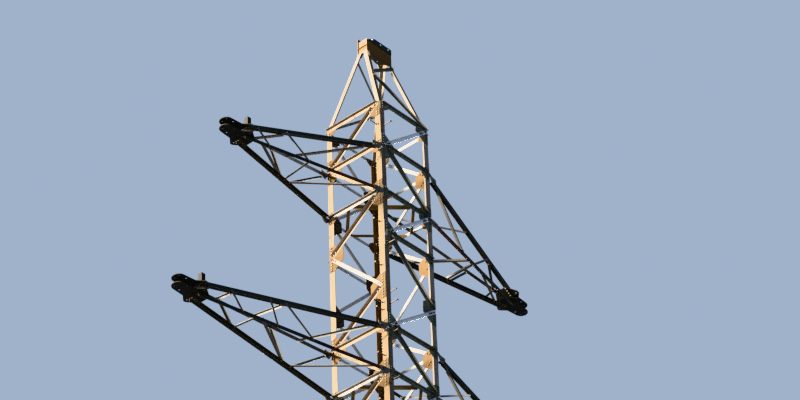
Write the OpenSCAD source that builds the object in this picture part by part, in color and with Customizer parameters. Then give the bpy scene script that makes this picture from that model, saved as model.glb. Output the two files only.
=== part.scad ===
// Lattice transmission pylon: a square steel tower with three crossarm levels on each side.
// Millimetres, +Z up, crossarms along X, the line runs along Y.
// The origin is the centre of the base, on the plane of the base plates' undersides.

/* [Tower body] */
// Spread of the leg corners in the parallel upper body
body_w = 1250; // [1100:10:1500]
// Spread of the leg corners at the ground
base_w = 4200; // [3600:50:4800]
// Height where the tapered lower body meets the parallel upper body
waist_z = 26150; // [22000:50:28000]
// Number of crossed panels in the tapered body, above the portal
lower_panels = 8; // [6:1:9]
// Height of a lower or middle crossarm at the legs, from its bottom chords to its top chords
arm_h = 912; // [800:1:1100]
// Height of an upper crossarm at the legs
upper_arm_h = 985; // [800:1:1100]
// Height from one crossarm level to the next
arm_pitch = 3656; // [3400:1:4000]
// Height from the lowest crossarm down to the waist
waist_gap = 300; // [200:10:600]
// Height from the topmost crossarm up to the bend of the legs
bend_gap = 911; // [700:1:1100]

/* [Crossarms] */
// Reach of the upper crossarms from the tower's axis
upper_reach = 3870; // [3300:10:4200]
// Reach of the middle crossarms
middle_reach = 4900; // [4500:10:5300]
// Reach of the lower crossarms
lower_reach = 4100; // [3500:10:4400]
// Length of a tip plate
tip_len = 680; // [600:5:850]
// Width of a tip plate over its ears
ear_w = 480; // [380:5:560]
// Width of a tip plate's round tongue
tongue_w = 240; // [160:5:280]
// Width of a tip plate at its rear edge
rear_w = 230; // [200:5:320]
// Clear height between the two plates of a tip
tip_gap = 135; // [90:5:170]
// Thickness of a tip plate
tip_t = 12; // [8:1:16]
// Radius of the hanger holes in a tip plate
hanger_r = 11; // [8:0.5:14]
// Radius of the shackle holes in a tip plate
shackle_r = 16; // [12:0.5:20]
// Distance of the hanger holes from the tip
hanger_in = 70; // [60:5:90]
// Spread of the two hanger holes across a tip plate
hanger_pitch = 100; // [80:5:120]
// Distance of the tongue's shackle holes from the tip
shackle_in = 200; // [170:5:240]
// Distance from the tip to the bend of its plates, where the chords begin
tip_bend = 450; // [400:5:500]
// Half the spread of the chords' heels where they begin on a tip plate
chord_end_y = 105; // [95:1:110]
// Reach of the bent root plates beyond the leg
root_reach = 200; // [160:5:260]
// Flange of the upright angle on an ear
bracket_b = 80; // [60:5:90]
// Height of the upright angle on an ear
bracket_h = 150; // [100:5:200]
// Thickness of the upright angle on an ear
bracket_t = 8; // [5:0.5:12]

/* [Peak] */
// Height of the peak from the bend of the legs to the leg ends
peak_h = 1655; // [1300:5:1900]
// Length of the head along the crossarms
head_l = 650; // [500:10:800]
// Width of the head along the line
head_w = 200; // [160:5:260]
// Height of the head plates above the leg ends
head_h = 355; // [300:5:450]
// Depth of the head plates' skirt below the leg ends
skirt_h = 290; // [200:5:350]
// Thickness of the head plates
head_t = 10; // [6:1:14]
// Radius of the earthwire holes in the head plates
earth_r = 11; // [8:0.5:14]
// Height of the strap along the head's top edge
strap_h = 120; // [90:5:150]
// Thickness of the strap along the head's top edge
strap_t = 8; // [5:1:12]
// Height of the channels that close the head's ends
end_h = 280; // [240:5:320]
// Thickness of the end channels
end_t = 6; // [4:0.5:10]
// Height of the fold in an end channel above the leg ends
fold_z = 135; // [100:5:170]
// Depth of an end channel out to its fold
fold_out = 28; // [20:1:40]
// Flange of the peak's bracing angles
peak_bar_b = 50; // [40:5:60]

/* [Steel sections] */
// Flange of the leg angles in the upper body
leg_b = 115; // [90:5:140]
// Thickness of the leg angles in the upper body
leg_t = 10; // [8:1:15]
// Flange of the leg angles in the lower body
foot_b = 130; // [110:5:160]
// Thickness of the leg angles in the lower body
foot_t = 12; // [10:1:18]
// Flange of the peak leg angles
peak_b = 75; // [60:5:90]
// Thickness of the peak leg angles
peak_t = 7; // [5:0.5:10]
// Flange of the body's bracing angles
brace_b = 60; // [45:5:75]
// Thickness of the bracing angles
brace_t = 5; // [4:0.5:8]
// Flange of the crossarm chord angles
chord_b = 70; // [55:5:85]
// Thickness of the chord angles
chord_t = 6; // [5:0.5:9]
// Flange of the crossarm bracing angles
lace_b = 40; // [30:5:50]
// Thickness of the crossarm bracing angles
lace_t = 4; // [3:0.5:6]
// Flange of the portal diagonals
portal_b = 80; // [70:5:100]
// Thickness of the portal diagonals
portal_t = 8; // [6:0.5:10]
// Flange of the level bars inside the body
plan_b = 55; // [45:5:65]

/* [Gussets and splices] */
// Thickness of the gusset plates
gusset_t = 8; // [6:1:14]
// Reach of a gusset across the upper body, where the zigzag meets a leg
gusset_w = 330; // [290:10:370]
// Height of a gusset where the zigzag meets a leg
gusset_h = 520; // [460:10:560]
// Reach of a gusset that only carries a level bar
small_gusset_w = 220; // [190:10:250]
// Height of a gusset that only carries a level bar
small_gusset_h = 240; // [200:10:280]
// Reach of a gusset in the tapered body
lower_gusset_w = 360; // [320:10:400]
// Width of the lower edge of the plate over the portal
apex_w = 300; // [260:10:340]
// Height of the plate over the portal
apex_h = 320; // [280:10:360]
// Height of the bent splice angles at the waist
splice_h = 480; // [420:10:540]
// Thickness of the splice angles
splice_t = 10; // [8:1:14]

/* [Feet] */
// Side of a square base plate
plate_w = 420; // [360:10:520]
// Thickness of a base plate
plate_t = 30; // [20:1:40]
// Spread of the anchor bolt holes in a base plate
anchor_pitch = 300; // [240:10:380]
// Radius of the anchor bolt holes
anchor_r = 17; // [13:1:22]
// Height above the ground from which the portal diagonals rise
portal_foot_z = 420; // [360:10:500]

/* [Climbing] */
// Distance between the step bolts along a leg
step_pitch = 450; // [300:10:600]
// Length of a step bolt outside the leg
step_len = 150; // [120:5:180]
// Radius of a step bolt
step_r = 9; // [7:0.5:12]
// Height of the lowest step bolt above the ground
step_from = 3000; // [2500:50:3500]
// Height by which step bolts keep clear of a level of the bracing
step_clear = 120; // [100:5:140]
// Length of an anchor pin for a climber's rope
pin_len = 175; // [140:5:200]
// Length of an anchor pin's cross bar
pin_head = 55; // [40:5:70]
// Height of the anchor pins above the top chords
pin_up = 460; // [400:10:500]

/* [Hidden] */

// Parts that meet face to face keep this gap, and fused bars sink this far into their gusset
seat = 0.3;
sink = 1;
// Clearance between the ends of bars that meet on one gusset
end_gap = 12;
eps = 0.5;

steel = [0.45, 0.45, 0.44];
dark_steel = [0.33, 0.33, 0.33];

// Levels of the upper body, from the bottom chords of the lowest arms upwards
b3_z = waist_z + waist_gap;
b2_z = b3_z + arm_pitch;
b1_z = b2_z + arm_pitch;
bend_z = b1_z + upper_arm_h + bend_gap;
top_z = bend_z + peak_h;
arm_z = [b3_z, b2_z, b1_z];
arm_height = [arm_h, arm_h, upper_arm_h];
reach = [lower_reach, middle_reach, upper_reach];

// Between two arms the zigzag has three panels, in these shares of the height
panel_share = [0.295, 0.393, 0.312];
arm_free = arm_pitch - arm_h;
function panels_above(z) = [
    z,
    z + arm_h,
    z + arm_h + arm_free * panel_share[0],
    z + arm_h + arm_free * (panel_share[0] + panel_share[1])
];
// Zigzag nodes of the upper body, upwards; the last one is the bend
upper_z = concat(panels_above(b3_z), panels_above(b2_z), [b1_z, b1_z + upper_arm_h, bend_z]);
// Zigzag nodes that carry a horizontal on every face, and those that carry one on two faces
all_round = [0, 1, 4, 5, 8, 9, 10];
two_faces = [3, 7];
// Zigzag nodes per arm level; the first two of them carry chords
nodes_per_arm = 4;

// Levels of the tapered body, from the waist down, each panel in proportion to its width
slope = (base_w - body_w) / 2 / waist_z;
panel_ratio = pow(base_w / body_w, 1 / (lower_panels + 1));
function level_w(i) = body_w * pow(panel_ratio, i);
function level_z(i) = waist_z - (level_w(i) - body_w) / 2 / slope;
lower_z = [for (i = [0 : lower_panels]) level_z(i)];
portal_z = lower_z[lower_panels];
body_levels = concat(lower_z, upper_z);

// Line of the bracing's ends on the legs' flanges
gauge = leg_b * 0.5;
// Share of a gusset's height over which it keeps its full width
gusset_flat = 0.4;
// Edge of a gusset, in from the leg's corner, and how far the topmost ones rise above the bend
gusset_in = 4;
bend_up = 40;

// Gap between the two straight parts of a leg, and how far the splice angles reach past the waist:
// the upper ones down and the lower ones up
splice_joint = 6;
splice_low = splice_joint / 3;
splice_past = 2 * splice_joint;
// Rounding inside the corner of a rolled angle, kept clear by the splice angles
root_r = 4;

// Centre of a base plate, in from the leg's corner and then from the tower's axis
foot_in = foot_b * 0.45;
foot_c = base_w / 2 - foot_in;

// Portal diagonals start this many flanges above the foot, and end beside the middle of the
// face, at this share of its half width and of the plate's height
portal_clear = 1.5;
portal_in = 0.04;
apex_meet = 0.4;
// Line of the portal struts on the legs, and their heights as shares of the portal's
strut_in = foot_b * 0.5;
strut_shares = [0.36, 0.66];
// Where the level bars inside the body meet its sides, as a share of the body's width
plan_share = 0.43;

// Flat part of a crossarm's root plate, in from the leg's corner, and half its height there
root_in = 96;
root_strap = brace_b / 2 + end_gap / 2;
// How far the wing that carries a bottom chord, and the one that carries a top chord, goes up and
// down, and the length over which it widens
root_up = [chord_b * 0.6, chord_b * 0.1];
root_down = [chord_b * 1.3, chord_b * 1.9];
root_slant = 60;
// Line on which the chords' heels meet the leg
root_y = body_w / 2 + gusset_t + seat;
// Gap from the leg's corner to a chord's end, past the horizontals of the body's sides
root_gap = 85;

// Bars of a side face: which side, share along the bottom chord, share along the top chord.
// A share past root_from ends on the root plate instead.
root_from = 0.94;
long_side_bars = [
    [-1, 0.295, 0.20], [-1, 0.65, 0.55], [-1, 0.68, 0.96],
    [1, 0.23, 0.17], [1, 0.41, 0.37], [1, 0.60, 0.45]
];
left_side_bars = [[-1, 0.49, 0.365], [-1, 0.53, 0.945], [1, 0.185, 0.095], [1, 0.47, 0.30]];
right_side_bars = [[-1, 0.50, 0.31], [-1, 0.63, 0.945], [1, 0.185, 0.095], [1, 0.47, 0.30]];
// Bars of the level faces: bottom or top, share along the strong side's chord, along the other
long_flat_bars = [
    [-1, 0.295, 0.31], [-1, 0.64, 0.335], [-1, 0.68, 0.96],
    [1, 0.155, 0.17], [1, 0.40, 0.44], [1, 0.74, 0.91]
];
left_flat_bars = [
    [-1, 0.505, 0.48], [-1, 0.47, 0.13], [-1, 0.545, 0.95], [1, 0.13, 0.30], [1, 0.52, 0.89]
];
right_flat_bars = [
    [-1, 0.485, 0.48], [-1, 0.43, 0.10], [-1, 0.525, 0.77], [1, 0.305, 0.105], [1, 0.555, 0.92]
];
middle_arm = 1;
// How far a level bar's line ends in from the chord's heel
flat_in = chord_b * 0.35;

// Outline of a tip plate, in shares of its length: where the ears begin, are full and end
ear_start = 0.50;
ear_full = 0.66;
ear_end = 0.73;
// Width of the tongue where the ears begin, as a share of its round end
tongue_flare = 1.15;
// Holes of the ears, as shares of the plate's length and of half its width, and the side
// distance of the tongue's shackle holes as a share of the tongue's width
ear_hole = [0.7, 0.78];
shackle_side = 0.31;
// The upright angle stands this far back from the bend, and in from the ear's edge
bracket_back = 35;
ear_in = 30;

// Corners of the body, going round with the legs
leg_sign = [[-1, -1], [1, -1], [1, 1], [-1, 1]];
// Bars of the peak: leg and share of its height where each starts, then where it ends, and how
// far in from the legs' heels
peak_bars = [[0, 0.53, 1, 0.05], [2, 0.53, 3, 0.05], [0, 0.60, 1, 0.95], [2, 0.60, 3, 0.95]];
peak_bar_in = peak_b / 10;
// Outward lean of the head plates' skirts, which follow the peak's legs
head_slope = (body_w - head_w) / 2 / peak_h;
// Cut corner of the head, in shares of its length and height
chamfer_l = 0.325;
chamfer_h = 0.315;
// Corners of the deep plate's skirt, in shares of the head's length
skirt_l = [0.17, 0.35, 0.61];
// Depths of the skirt at its corners, of its slant and of its hole, in shares of its full depth
corner_drop = 0.1;
end_drop = 0.55;
slant_drop = 0.5;
hole_drop = 0.8;
skirt_past = 1.1;
// The shallow plate reaches down over the legs only, and ends this far up between them
lug_l = 0.14;
lug_slant = 0.08;
lug_up = 0.3;
// Earthwire holes along the strap, in shares of the head's length
hole_share = [-0.285, 0.04, 0.345];

// Line of the step bolts on the leg's flanges, and radius of an anchor pin's cross bar
step_in = leg_b * 0.75;
pin_head_r = step_r * 0.9;

// Half the spread of the leg corners at a height
function half(z) = z >= waist_z ? body_w / 2 : body_w / 2 + slope * (waist_z - z);
// Outward normal of the front face, in the tapered body and in the upper body
lower_n = unit([0, -1, slope]);
upper_n = [0, -1, 0];
function face_n(z) = z >= waist_z ? upper_n : lower_n;
// A point of the front face: share across it from -1 to 1, height, distance outside the face,
// and distance in from the leg's corner
function face_p(s, z, off = 0, inset = 0) =
    [s * (half(z) - inset), -half(z), z] + off * face_n(z - eps);

function unit(v) = v / norm(v);
function flat_to(v, d) = unit(v - (v * d) * d);

// An angle bar with its heel on the line from a to b. One flange points along v, as nearly as the
// line allows, and the other is square to it, on the side of u.
module angle_bar(a, b, u, v, w, t) {
    bar_frame(a, b, u, v)
        linear_extrude(norm(b - a))
            polygon([[0, 0], [w, 0], [w, $hand * t], [t, $hand * t], [t, $hand * w], [0, $hand * w]]);
}

// A flat strip in the place of an angle bar's square flange
module flat_bar(a, b, u, v, w, t) {
    bar_frame(a, b, u, v)
        linear_extrude(norm(b - a))
            polygon([[0, 0], [w, 0], [w, $hand * t], [0, $hand * t]]);
}

// The frame of a bar from a to b: x across it on the side of u, z along it
module bar_frame(a, b, u, v) {
    d = unit(b - a);
    square = cross(flat_to(v, d), d);
    x = square * (square * u > 0 ? 1 : -1);
    y = cross(d, x);
    $hand = y * v > 0 ? 1 : -1;
    multmatrix([
        [x[0], y[0], d[0], a[0]],
        [x[1], y[1], d[1], a[1]],
        [x[2], y[2], d[2], a[2]],
        [0, 0, 0, 1]
    ])
        children();
}

// A flat plate whose outline is drawn in a frame: origin o, first axis u, normal n
module plate(o, u, n, t, pts) {
    z = unit(n);
    x = flat_to(u, z);
    y = cross(z, x);
    multmatrix([
        [x[0], y[0], z[0], o[0]],
        [x[1], y[1], z[1], o[1]],
        [x[2], y[2], z[2], o[2]],
        [0, 0, 0, 1]
    ])
        linear_extrude(t)
            polygon(pts);
}

// Bracing of a body face

// How far a bar stays back from its work point, by its slope
function back_from_bar(d) = (brace_b / 2 + end_gap + brace_b / 2 * norm([d[0], d[1]])) / abs(d[2]);
function back_from_bar_free(d) = (end_gap / 2 + brace_b / 2 * norm([d[0], d[1]])) / abs(d[2]);
function back_from_leg(d, b) =
    (b - gauge + end_gap + brace_b / 2 * abs(d[2])) / norm([d[0], d[1]]);

// A brace on the outside of the gussets, its standing flange along the upper edge
module outer_brace(p, q, n, cut_p, cut_q) {
    d = unit(q - p);
    up = flat_to([0, 0, 1], d);
    e = flat_to(up, n);
    side = flat_to(e - (e * d) * d, n);
    lift = side * brace_b / 2 + n * (gusset_t - sink);
    angle_bar(p + d * cut_p + lift, q - d * cut_q + lift, -side, n, brace_b, brace_t);
}

// A brace on the inside of the gussets, its standing flange pointing inwards
module inner_brace(p, q, n, cut_p, cut_q) {
    d = unit(q - p);
    up = flat_to([0, 0, 1], d);
    e = flat_to(up, n);
    side = flat_to(e - (e * d) * d, n);
    lift = side * brace_b / 2 + n * sink;
    angle_bar(p + d * cut_p + lift, q - d * cut_q + lift, -side, -n, brace_b, brace_t);
}

// A gusset on a leg: s is the side of the face, w its reach, up and down its height about the node
module gusset(s, z, n, w, up, down, b) {
    f = gusset_flat;
    plate(face_p(s, z) + n * seat, [-s, 0, 0], n, gusset_t, s < 0 ? [
        [gusset_in, -down], [b, -down], [w, -down * f], [w, up * f], [b, up], [gusset_in, up]
    ] : [
        [gusset_in, -up], [b, -up], [w, -up * f], [w, down * f], [b, down], [gusset_in, down]
    ]);
}

// One face of the upper body: a single zigzag with its horizontals
module upper_lattice(arm_side) {
    n = upper_n;
    last = len(upper_z) - 1;
    for (i = [0 : last - 1]) {
        // The zigzag starts at the right-hand leg at the bend
        s = (last - i) % 2 == 0 ? 1 : -1;
        p = face_p(s, upper_z[i], 0, gauge);
        q = face_p(-s, upper_z[i + 1], 0, gauge);
        d = unit(q - p);
        cut_p = has_bar(i, arm_side) ? back_from_bar(d) : back_from_bar_free(d);
        cut_q = has_bar(i + 1, arm_side) ? back_from_bar(d) : back_from_bar_free(d);
        outer_brace(p, q, n, cut_p, cut_q);
    }
    for (i = [0 : last]) {
        s = (last - i) % 2 == 0 ? 1 : -1;
        top = i == last ? bend_up : gusset_h / 2;
        gusset(s, upper_z[i], n, gusset_w, top, gusset_h / 2, leg_b);
        if (has_bar(i, arm_side)) {
            small = small_gusset_h / 2;
            gusset(-s, upper_z[i], n, small_gusset_w, i == last ? bend_up : small, small, leg_b);
            // Where a crossarm's root plate lies on the gusset, the horizontal stays clear of it
            inset = arm_side && carries_chords(i) ? root_in + end_gap : gauge / 2;
            outer_brace(face_p(-1, upper_z[i], 0, inset), face_p(1, upper_z[i], 0, inset), n, 0, 0);
        }
    }
}
function has_bar(i, arm_side) =
    len(search(i, all_round)) > 0 || (arm_side && len(search(i, two_faces)) > 0);
function carries_chords(i) = i % nodes_per_arm < 2 && i < len(upper_z) - 1;

// One face of the tapered body: crossed bars in every panel with a horizontal at each level
module lower_lattice() {
    n = lower_n;
    for (i = [0 : lower_panels - 1]) {
        zt = lower_z[i];
        zb = lower_z[i + 1];
        a = face_p(-1, zb, 0, gauge);
        b = face_p(1, zt, 0, gauge);
        da = unit(b - a);
        outer_brace(a, b, n, back_from_bar(da), back_from_bar(da));
        c = face_p(1, zb, 0, gauge);
        e = face_p(-1, zt, 0, gauge);
        dc = unit(e - c);
        inner_brace(c, e, n, back_from_leg(dc, foot_b), back_from_leg(dc, foot_b));
        // Packing plate where the two bars cross
        x = a + (b - a) * (level_w(i + 1) / (level_w(i) + level_w(i + 1)));
        plate(x - [brace_b / 2, 0, 0], [1, 0, 0], n, gusset_t, [
            [0, -brace_b / 2], [brace_b, -brace_b / 2], [brace_b, brace_b / 2], [0, brace_b / 2]
        ]);
    }
    for (i = [0 : lower_panels]) {
        // At the waist the legs turn upright, so the gussets end there
        for (s = [-1, 1])
            gusset(s, lower_z[i], n, lower_gusset_w, i == 0 ? 0 : gusset_h / 2, gusset_h / 2, foot_b);
        p = face_p(-1, lower_z[i], 0, gauge / 2);
        q = face_p(1, lower_z[i], 0, gauge / 2);
        outer_brace(p, q, n, 0, 0);
    }
    // Gusset in the middle of the lowest horizontal, where the portal diagonals meet
    o = [0, -half(portal_z), portal_z];
    plate(o, [1, 0, 0], n, gusset_t, [
        [-apex_w / 2, -apex_h], [apex_w / 2, -apex_h], [apex_w / 2 + brace_b, brace_b / 2],
        [-apex_w / 2 - brace_b, brace_b / 2]
    ]);
}

// Legs

// The front leg's angle between two heights of one straight part of the body. It may lie further
// in from the leg's faces, and run on past its upper end.
module leg_piece(z0, z1, b, t, in = 0, past = 0) {
    h0 = half(z0);
    h1 = half(z1);
    p = [-h0, -h0, z0];
    q = [-h1, -h1, z1];
    d = unit(q - p);
    m = flat_to([1, 1, 0], d);
    r = cross(d, m);
    inwards = in * (unit(m - r) + unit(m + r));
    angle_bar(p + inwards, q + inwards + past * d, m - r, m + r, b, t);
}
module leg_lower() {
    difference() {
        leg_piece(-leg_b, waist_z - splice_joint / 2, foot_b, foot_t);
        translate([-base_w, -base_w, -base_w + plate_t + seat])
            cube([2 * base_w, 2 * base_w, base_w]);
    }
}
module leg_upper() {
    leg_piece(waist_z + splice_joint / 2, bend_z, leg_b, leg_t);
}
module at_corner(i) {
    rotate([0, 0, 90 * i])
        children();
}

// Bent angles on the inside of the legs at the waist, which join the two straight parts
module leg_splices() {
    w = leg_b - leg_t - root_r;
    in = body_w / 2 - leg_t - seat;
    for (i = [0 : 3])
        at_corner(i) {
            translate([-in, -in, waist_z - splice_low]) {
                cube([w, splice_t, splice_h / 2]);
                cube([splice_t, w, splice_h / 2]);
            }
            leg_piece(waist_z - splice_h / 2, waist_z, w, splice_t, foot_t + seat, splice_past);
        }
}

// Base plates, square to the tower, with their anchor holes
module base_plates() {
    for (i = [0 : 3])
        at_corner(i)
            translate([-foot_c, -foot_c, 0])
                difference() {
                    translate([-plate_w / 2, -plate_w / 2, 0])
                        cube([plate_w, plate_w, plate_t]);
                    for (x = [-1, 1], y = [-1, 1])
                        translate([x * anchor_pitch / 2, y * anchor_pitch / 2, -eps])
                            cylinder(r = anchor_r, h = plate_t + 2 * eps, $fn = 32);
                }
}

// Portal: two diagonals in each face, from the feet up to the middle of the first horizontal
function portal_top(s) = face_p(s * portal_in, portal_z - apex_h * apex_meet);
module portal_diagonals() {
    n = lower_n;
    for (i = [0 : 3])
        at_corner(i)
            for (s = [-1, 1]) {
                p = face_p(s, portal_foot_z, 0, gauge);
                q = portal_top(s);
                d = unit(q - p);
                up = flat_to([0, 0, 1], d);
                side = flat_to(up, n);
                lift = side * portal_b / 2 - n * seat;
                angle_bar(p + d * foot_b * portal_clear + lift, q + lift, -side, -n, portal_b, portal_t);
            }
}

// Short struts between a leg and its portal diagonal
module portal_struts() {
    n = lower_n;
    for (i = [0 : 3])
        at_corner(i)
            for (s = [-1, 1], k = strut_shares) {
                z = portal_z * k;
                p = face_p(s, z, 0, strut_in);
                a = face_p(s, portal_foot_z, 0, gauge);
                b = portal_top(s);
                q = a + (b - a) * ((z - a[2]) / (b[2] - a[2]));
                lift = flat_to([0, 0, 1], n) * brace_b / 2 + n * seat;
                angle_bar(p + lift, q + lift, [0, 0, -1], n, brace_b, brace_t);
            }
}

// Level bracing at the bottom chords: bars from side to side, past the middle of each side
module plan_bracing() {
    r = body_w / 2 + gusset_t - sink - seat;
    off = body_w * (0.5 - plan_share);
    for (k = [0 : 2])
        intersection() {
            union() {
                for (s = [-1, 1]) {
                    // Short bars cut off the left and right corners, long ones the other two
                    plan_bar([-r, off + plan_b / 2], [-off - plan_b / 2, r], arm_z[k], s);
                    plan_bar([-r, off - plan_b / 2], [off - plan_b / 2, -r], arm_z[k], s);
                }
            }
            translate([-r, -r, arm_z[k] - 2 * plan_b])
                cube([2 * r, 2 * r, 4 * plan_b]);
        }
}
// A level bar run past both ends, its level flange away from the tower's axis
module plan_bar(a, b, z, s) {
    p = [s * a[0], s * a[1], z];
    q = [s * b[0], s * b[1], z];
    d = unit(q - p);
    past = d * plan_b * 2;
    outwards = [p[0] + q[0], p[1] + q[1], 0];
    angle_bar(p - past, q + past, outwards, [0, 0, -1], plan_b, brace_t);
}

// Crossarms
// Each is drawn pointing along +X and turned half round for the left side, so that the lacing
// runs the same way round the tower. The strong side, e = -1, has its lacing in full.

function arm_run(k) = reach[k] - tip_bend - body_w / 2;
function arm_turn(k) = atan2(root_y - chord_end_y, arm_run(k));
// Heel lines of the chords; c is -1 for a bottom chord and 1 for a top one
function heel_root_z(k, c) = arm_z[k] + (c > 0 ? arm_height[k] - chord_b : chord_b / 2);
function plate_face_z(k, c) = arm_z[k] + c * (tip_gap / 2 + tip_t);
function heel_slope(k, c) = (heel_root_z(k, c) - plate_face_z(k, c)) / arm_run(k);
// A chord's level flange runs level across the chord, so a sloping chord needs this much room
function heel_lift(k, c) = seat + (c > 0 ? heel_slope(k, c) * sin(arm_turn(k)) * chord_b : 0);
function heel_tip(k, e, c) =
    [reach[k] - tip_bend, e * chord_end_y, plate_face_z(k, c) + c * heel_lift(k, c)];
function heel_root(k, e, c) = [body_w / 2, e * root_y, heel_root_z(k, c)];
// A point on a chord's heel line: share f from the tip to the leg
function heel(k, e, c, f) = heel_tip(k, e, c) + (heel_root(k, e, c) - heel_tip(k, e, c)) * f;

module arm_side(s) {
    rotate([0, 0, s > 0 ? 0 : 180])
        children();
}

// Top chords stand on their level flange, bottom chords hang from theirs
module arm_chords(k) {
    f = 1 - root_gap / arm_run(k);
    for (e = [-1, 1], c = [-1, 1])
        angle_bar(heel(k, e, c, 0), heel(k, e, c, f), [0, -e, 0], [0, 0, c], chord_b, chord_t);
}

function side_bars(k, s) = k == middle_arm ? long_side_bars : s < 0 ? left_side_bars : right_side_bars;
function flat_bars(k, s) = k == middle_arm ? long_flat_bars : s < 0 ? left_flat_bars : right_flat_bars;
module arm_lacing(k, s) {
    turn = arm_turn(k);
    // Side bars lie on the outside of the chords' upright flanges
    for (b = side_bars(k, s)) {
        e = b[0];
        out = [sin(turn), e * cos(turn), 0];
        p = heel(k, e, -1, b[1]) + out * seat - [0, 0, chord_b / 2];
        at_root = b[2] > root_from;
        q = heel(k, e, 1, b[2]) + out * (at_root ? gusset_t + 3 * seat : seat)
            + [0, 0, chord_b / 2 * (at_root ? -1 : 1)];
        side_bar(k, p, q, out);
    }
    // Level bars lie inside the arm, over the bottom chords' flanges and under the top chords'
    for (b = flat_bars(k, s)) {
        c = b[0];
        n = unit([heel_slope(k, c), 0, 1]) * -c;
        p = heel(k, -1, c, b[1]) + [0, flat_in, 0] + n * heel_lift(k, c);
        q = heel(k, 1, c, b[2]) - [0, flat_in, 0] + n * heel_lift(k, c);
        // The level flange's corner stays inside the chord, so the end that leans out is set back
        d = unit(q - p);
        back = d * lace_b / d[1];
        angle_bar(p + back * max(0, d[0]), q - back * max(0, -d[0]), [1, 0, 0], n, lace_b, lace_t);
    }
}
// A side bar's flat flange runs over both chords; the other points inwards, between the chords only
module side_bar(k, p, q, out) {
    d = unit(q - p);
    a = p + out * lace_t;
    b = q + out * lace_t;
    cut_a = stand_clear(k, -1, d);
    cut_b = stand_clear(k, 1, d);
    flat_bar(a, b, [1, 0, 0], -out, lace_b, lace_t);
    if (norm(b - a) > cut_a + cut_b + lace_b)
        angle_bar(a + d * cut_a, b - d * cut_b, [1, 0, 0], -out, lace_b, lace_t);
}
function stand_clear(k, c, d) = (chord_b + lace_b) / 2 / abs(d[2] + heel_slope(k, c) * d[0]);

// Outline of a tip plate, from the end of its tongue: round tongue, ears, narrower rear
module tip_outline() {
    r = tongue_w / 2;
    difference() {
        union() {
            translate([-r, 0])
                circle(r = r, $fn = 48);
            polygon([
                [-r, -r], [-tip_len * ear_start, -r * tongue_flare], [-tip_len * ear_full, -ear_w / 2],
                [-tip_len * ear_end, -ear_w / 2], [-tip_len, -rear_w / 2],
                [-tip_len, rear_w / 2], [-tip_len * ear_end, ear_w / 2],
                [-tip_len * ear_full, ear_w / 2], [-tip_len * ear_start, r * tongue_flare], [-r, r]
            ]);
        }
        for (e = [-1, 1]) {
            translate([-hanger_in, e * hanger_pitch / 2])
                circle(r = hanger_r, $fn = 24);
            translate([-shackle_in, e * tongue_w * shackle_side])
                circle(r = shackle_r, $fn = 24);
            translate([-tip_len * ear_hole[0], e * ear_w / 2 * ear_hole[1]])
                circle(r = shackle_r, $fn = 24);
        }
    }
}

// The two plates of a tip; behind the ears each is bent to the slope of its chords
module arm_tip(k) {
    for (c = [-1, 1]) {
        z = c > 0 ? arm_z[k] + tip_gap / 2 : arm_z[k] - tip_gap / 2 - tip_t;
        rise = heel_slope(k, c) * (tip_len - tip_bend);
        intersection() {
            translate([reach[k], 0, z - tip_len / 2])
                linear_extrude(tip_len)
                    tip_outline();
            translate([reach[k], ear_w / 2 + eps, z])
                rotate([90, 0, 0])
                    linear_extrude(ear_w + 2 * eps)
                        polygon([
                            [eps, 0], [eps, tip_t], [-tip_bend, tip_t], [-tip_len - eps, rise + tip_t],
                            [-tip_len - eps, rise], [-tip_bend, 0]
                        ]);
        }
    }
    // Upright angle on one ear of the upper plate, over the bend
    bracket_x = reach[k] - tip_bend + bracket_b - bracket_back;
    translate([bracket_x, ear_w / 2 - ear_in, arm_z[k] + tip_gap / 2 + tip_t - sink])
        linear_extrude(bracket_h)
            polygon([
                [0, 0], [-bracket_b, 0], [-bracket_b, -bracket_t], [-bracket_t, -bracket_t],
                [-bracket_t, -bracket_b], [0, -bracket_b]
            ]);
}

// Bent plates on the leg gussets that carry the chord ends, deeper outside the leg
module crossarm_roots() {
    for (i = [0 : len(upper_z) - 2], s = [-1, 1], e = [-1, 1])
        if (carries_chords(i))
            mirror([s < 0 ? 1 : 0, 0, 0])
                mirror([0, e < 0 ? 1 : 0, 0])
                    translate([body_w / 2, body_w / 2 + gusset_t + 2 * seat, upper_z[i]])
                        root_plate(arm_turn(floor(i / nodes_per_arm)), i % nodes_per_arm);
}
// One bent plate: top is 0 for a bottom chord's plate and 1 for a top chord's
module root_plate(turn, top) {
    far = [root_reach * cos(turn), -root_reach * sin(turn)];
    t = gusset_t;
    tall = root_down[1];
    intersection() {
        translate([0, 0, -tall])
            linear_extrude(2 * tall)
                polygon([
                    [-root_in, 0], [0, 0], far, far + t * [sin(turn), cos(turn)],
                    [t * tan(turn / 2), t], [-root_in, t]
                ]);
        rotate([90, 0, 0])
            translate([0, 0, -2 * t])
                linear_extrude(root_reach)
                    polygon([
                        [-root_in - eps, -root_strap], [0, -root_strap], [root_slant, -root_down[top]],
                        [root_reach - root_slant, -root_down[top]], [root_reach + t, -root_strap],
                        [root_reach + t, root_up[top]], [root_slant, root_up[top]],
                        [0, root_strap], [-root_in - eps, root_strap]
                    ]);
    }
}

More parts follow.
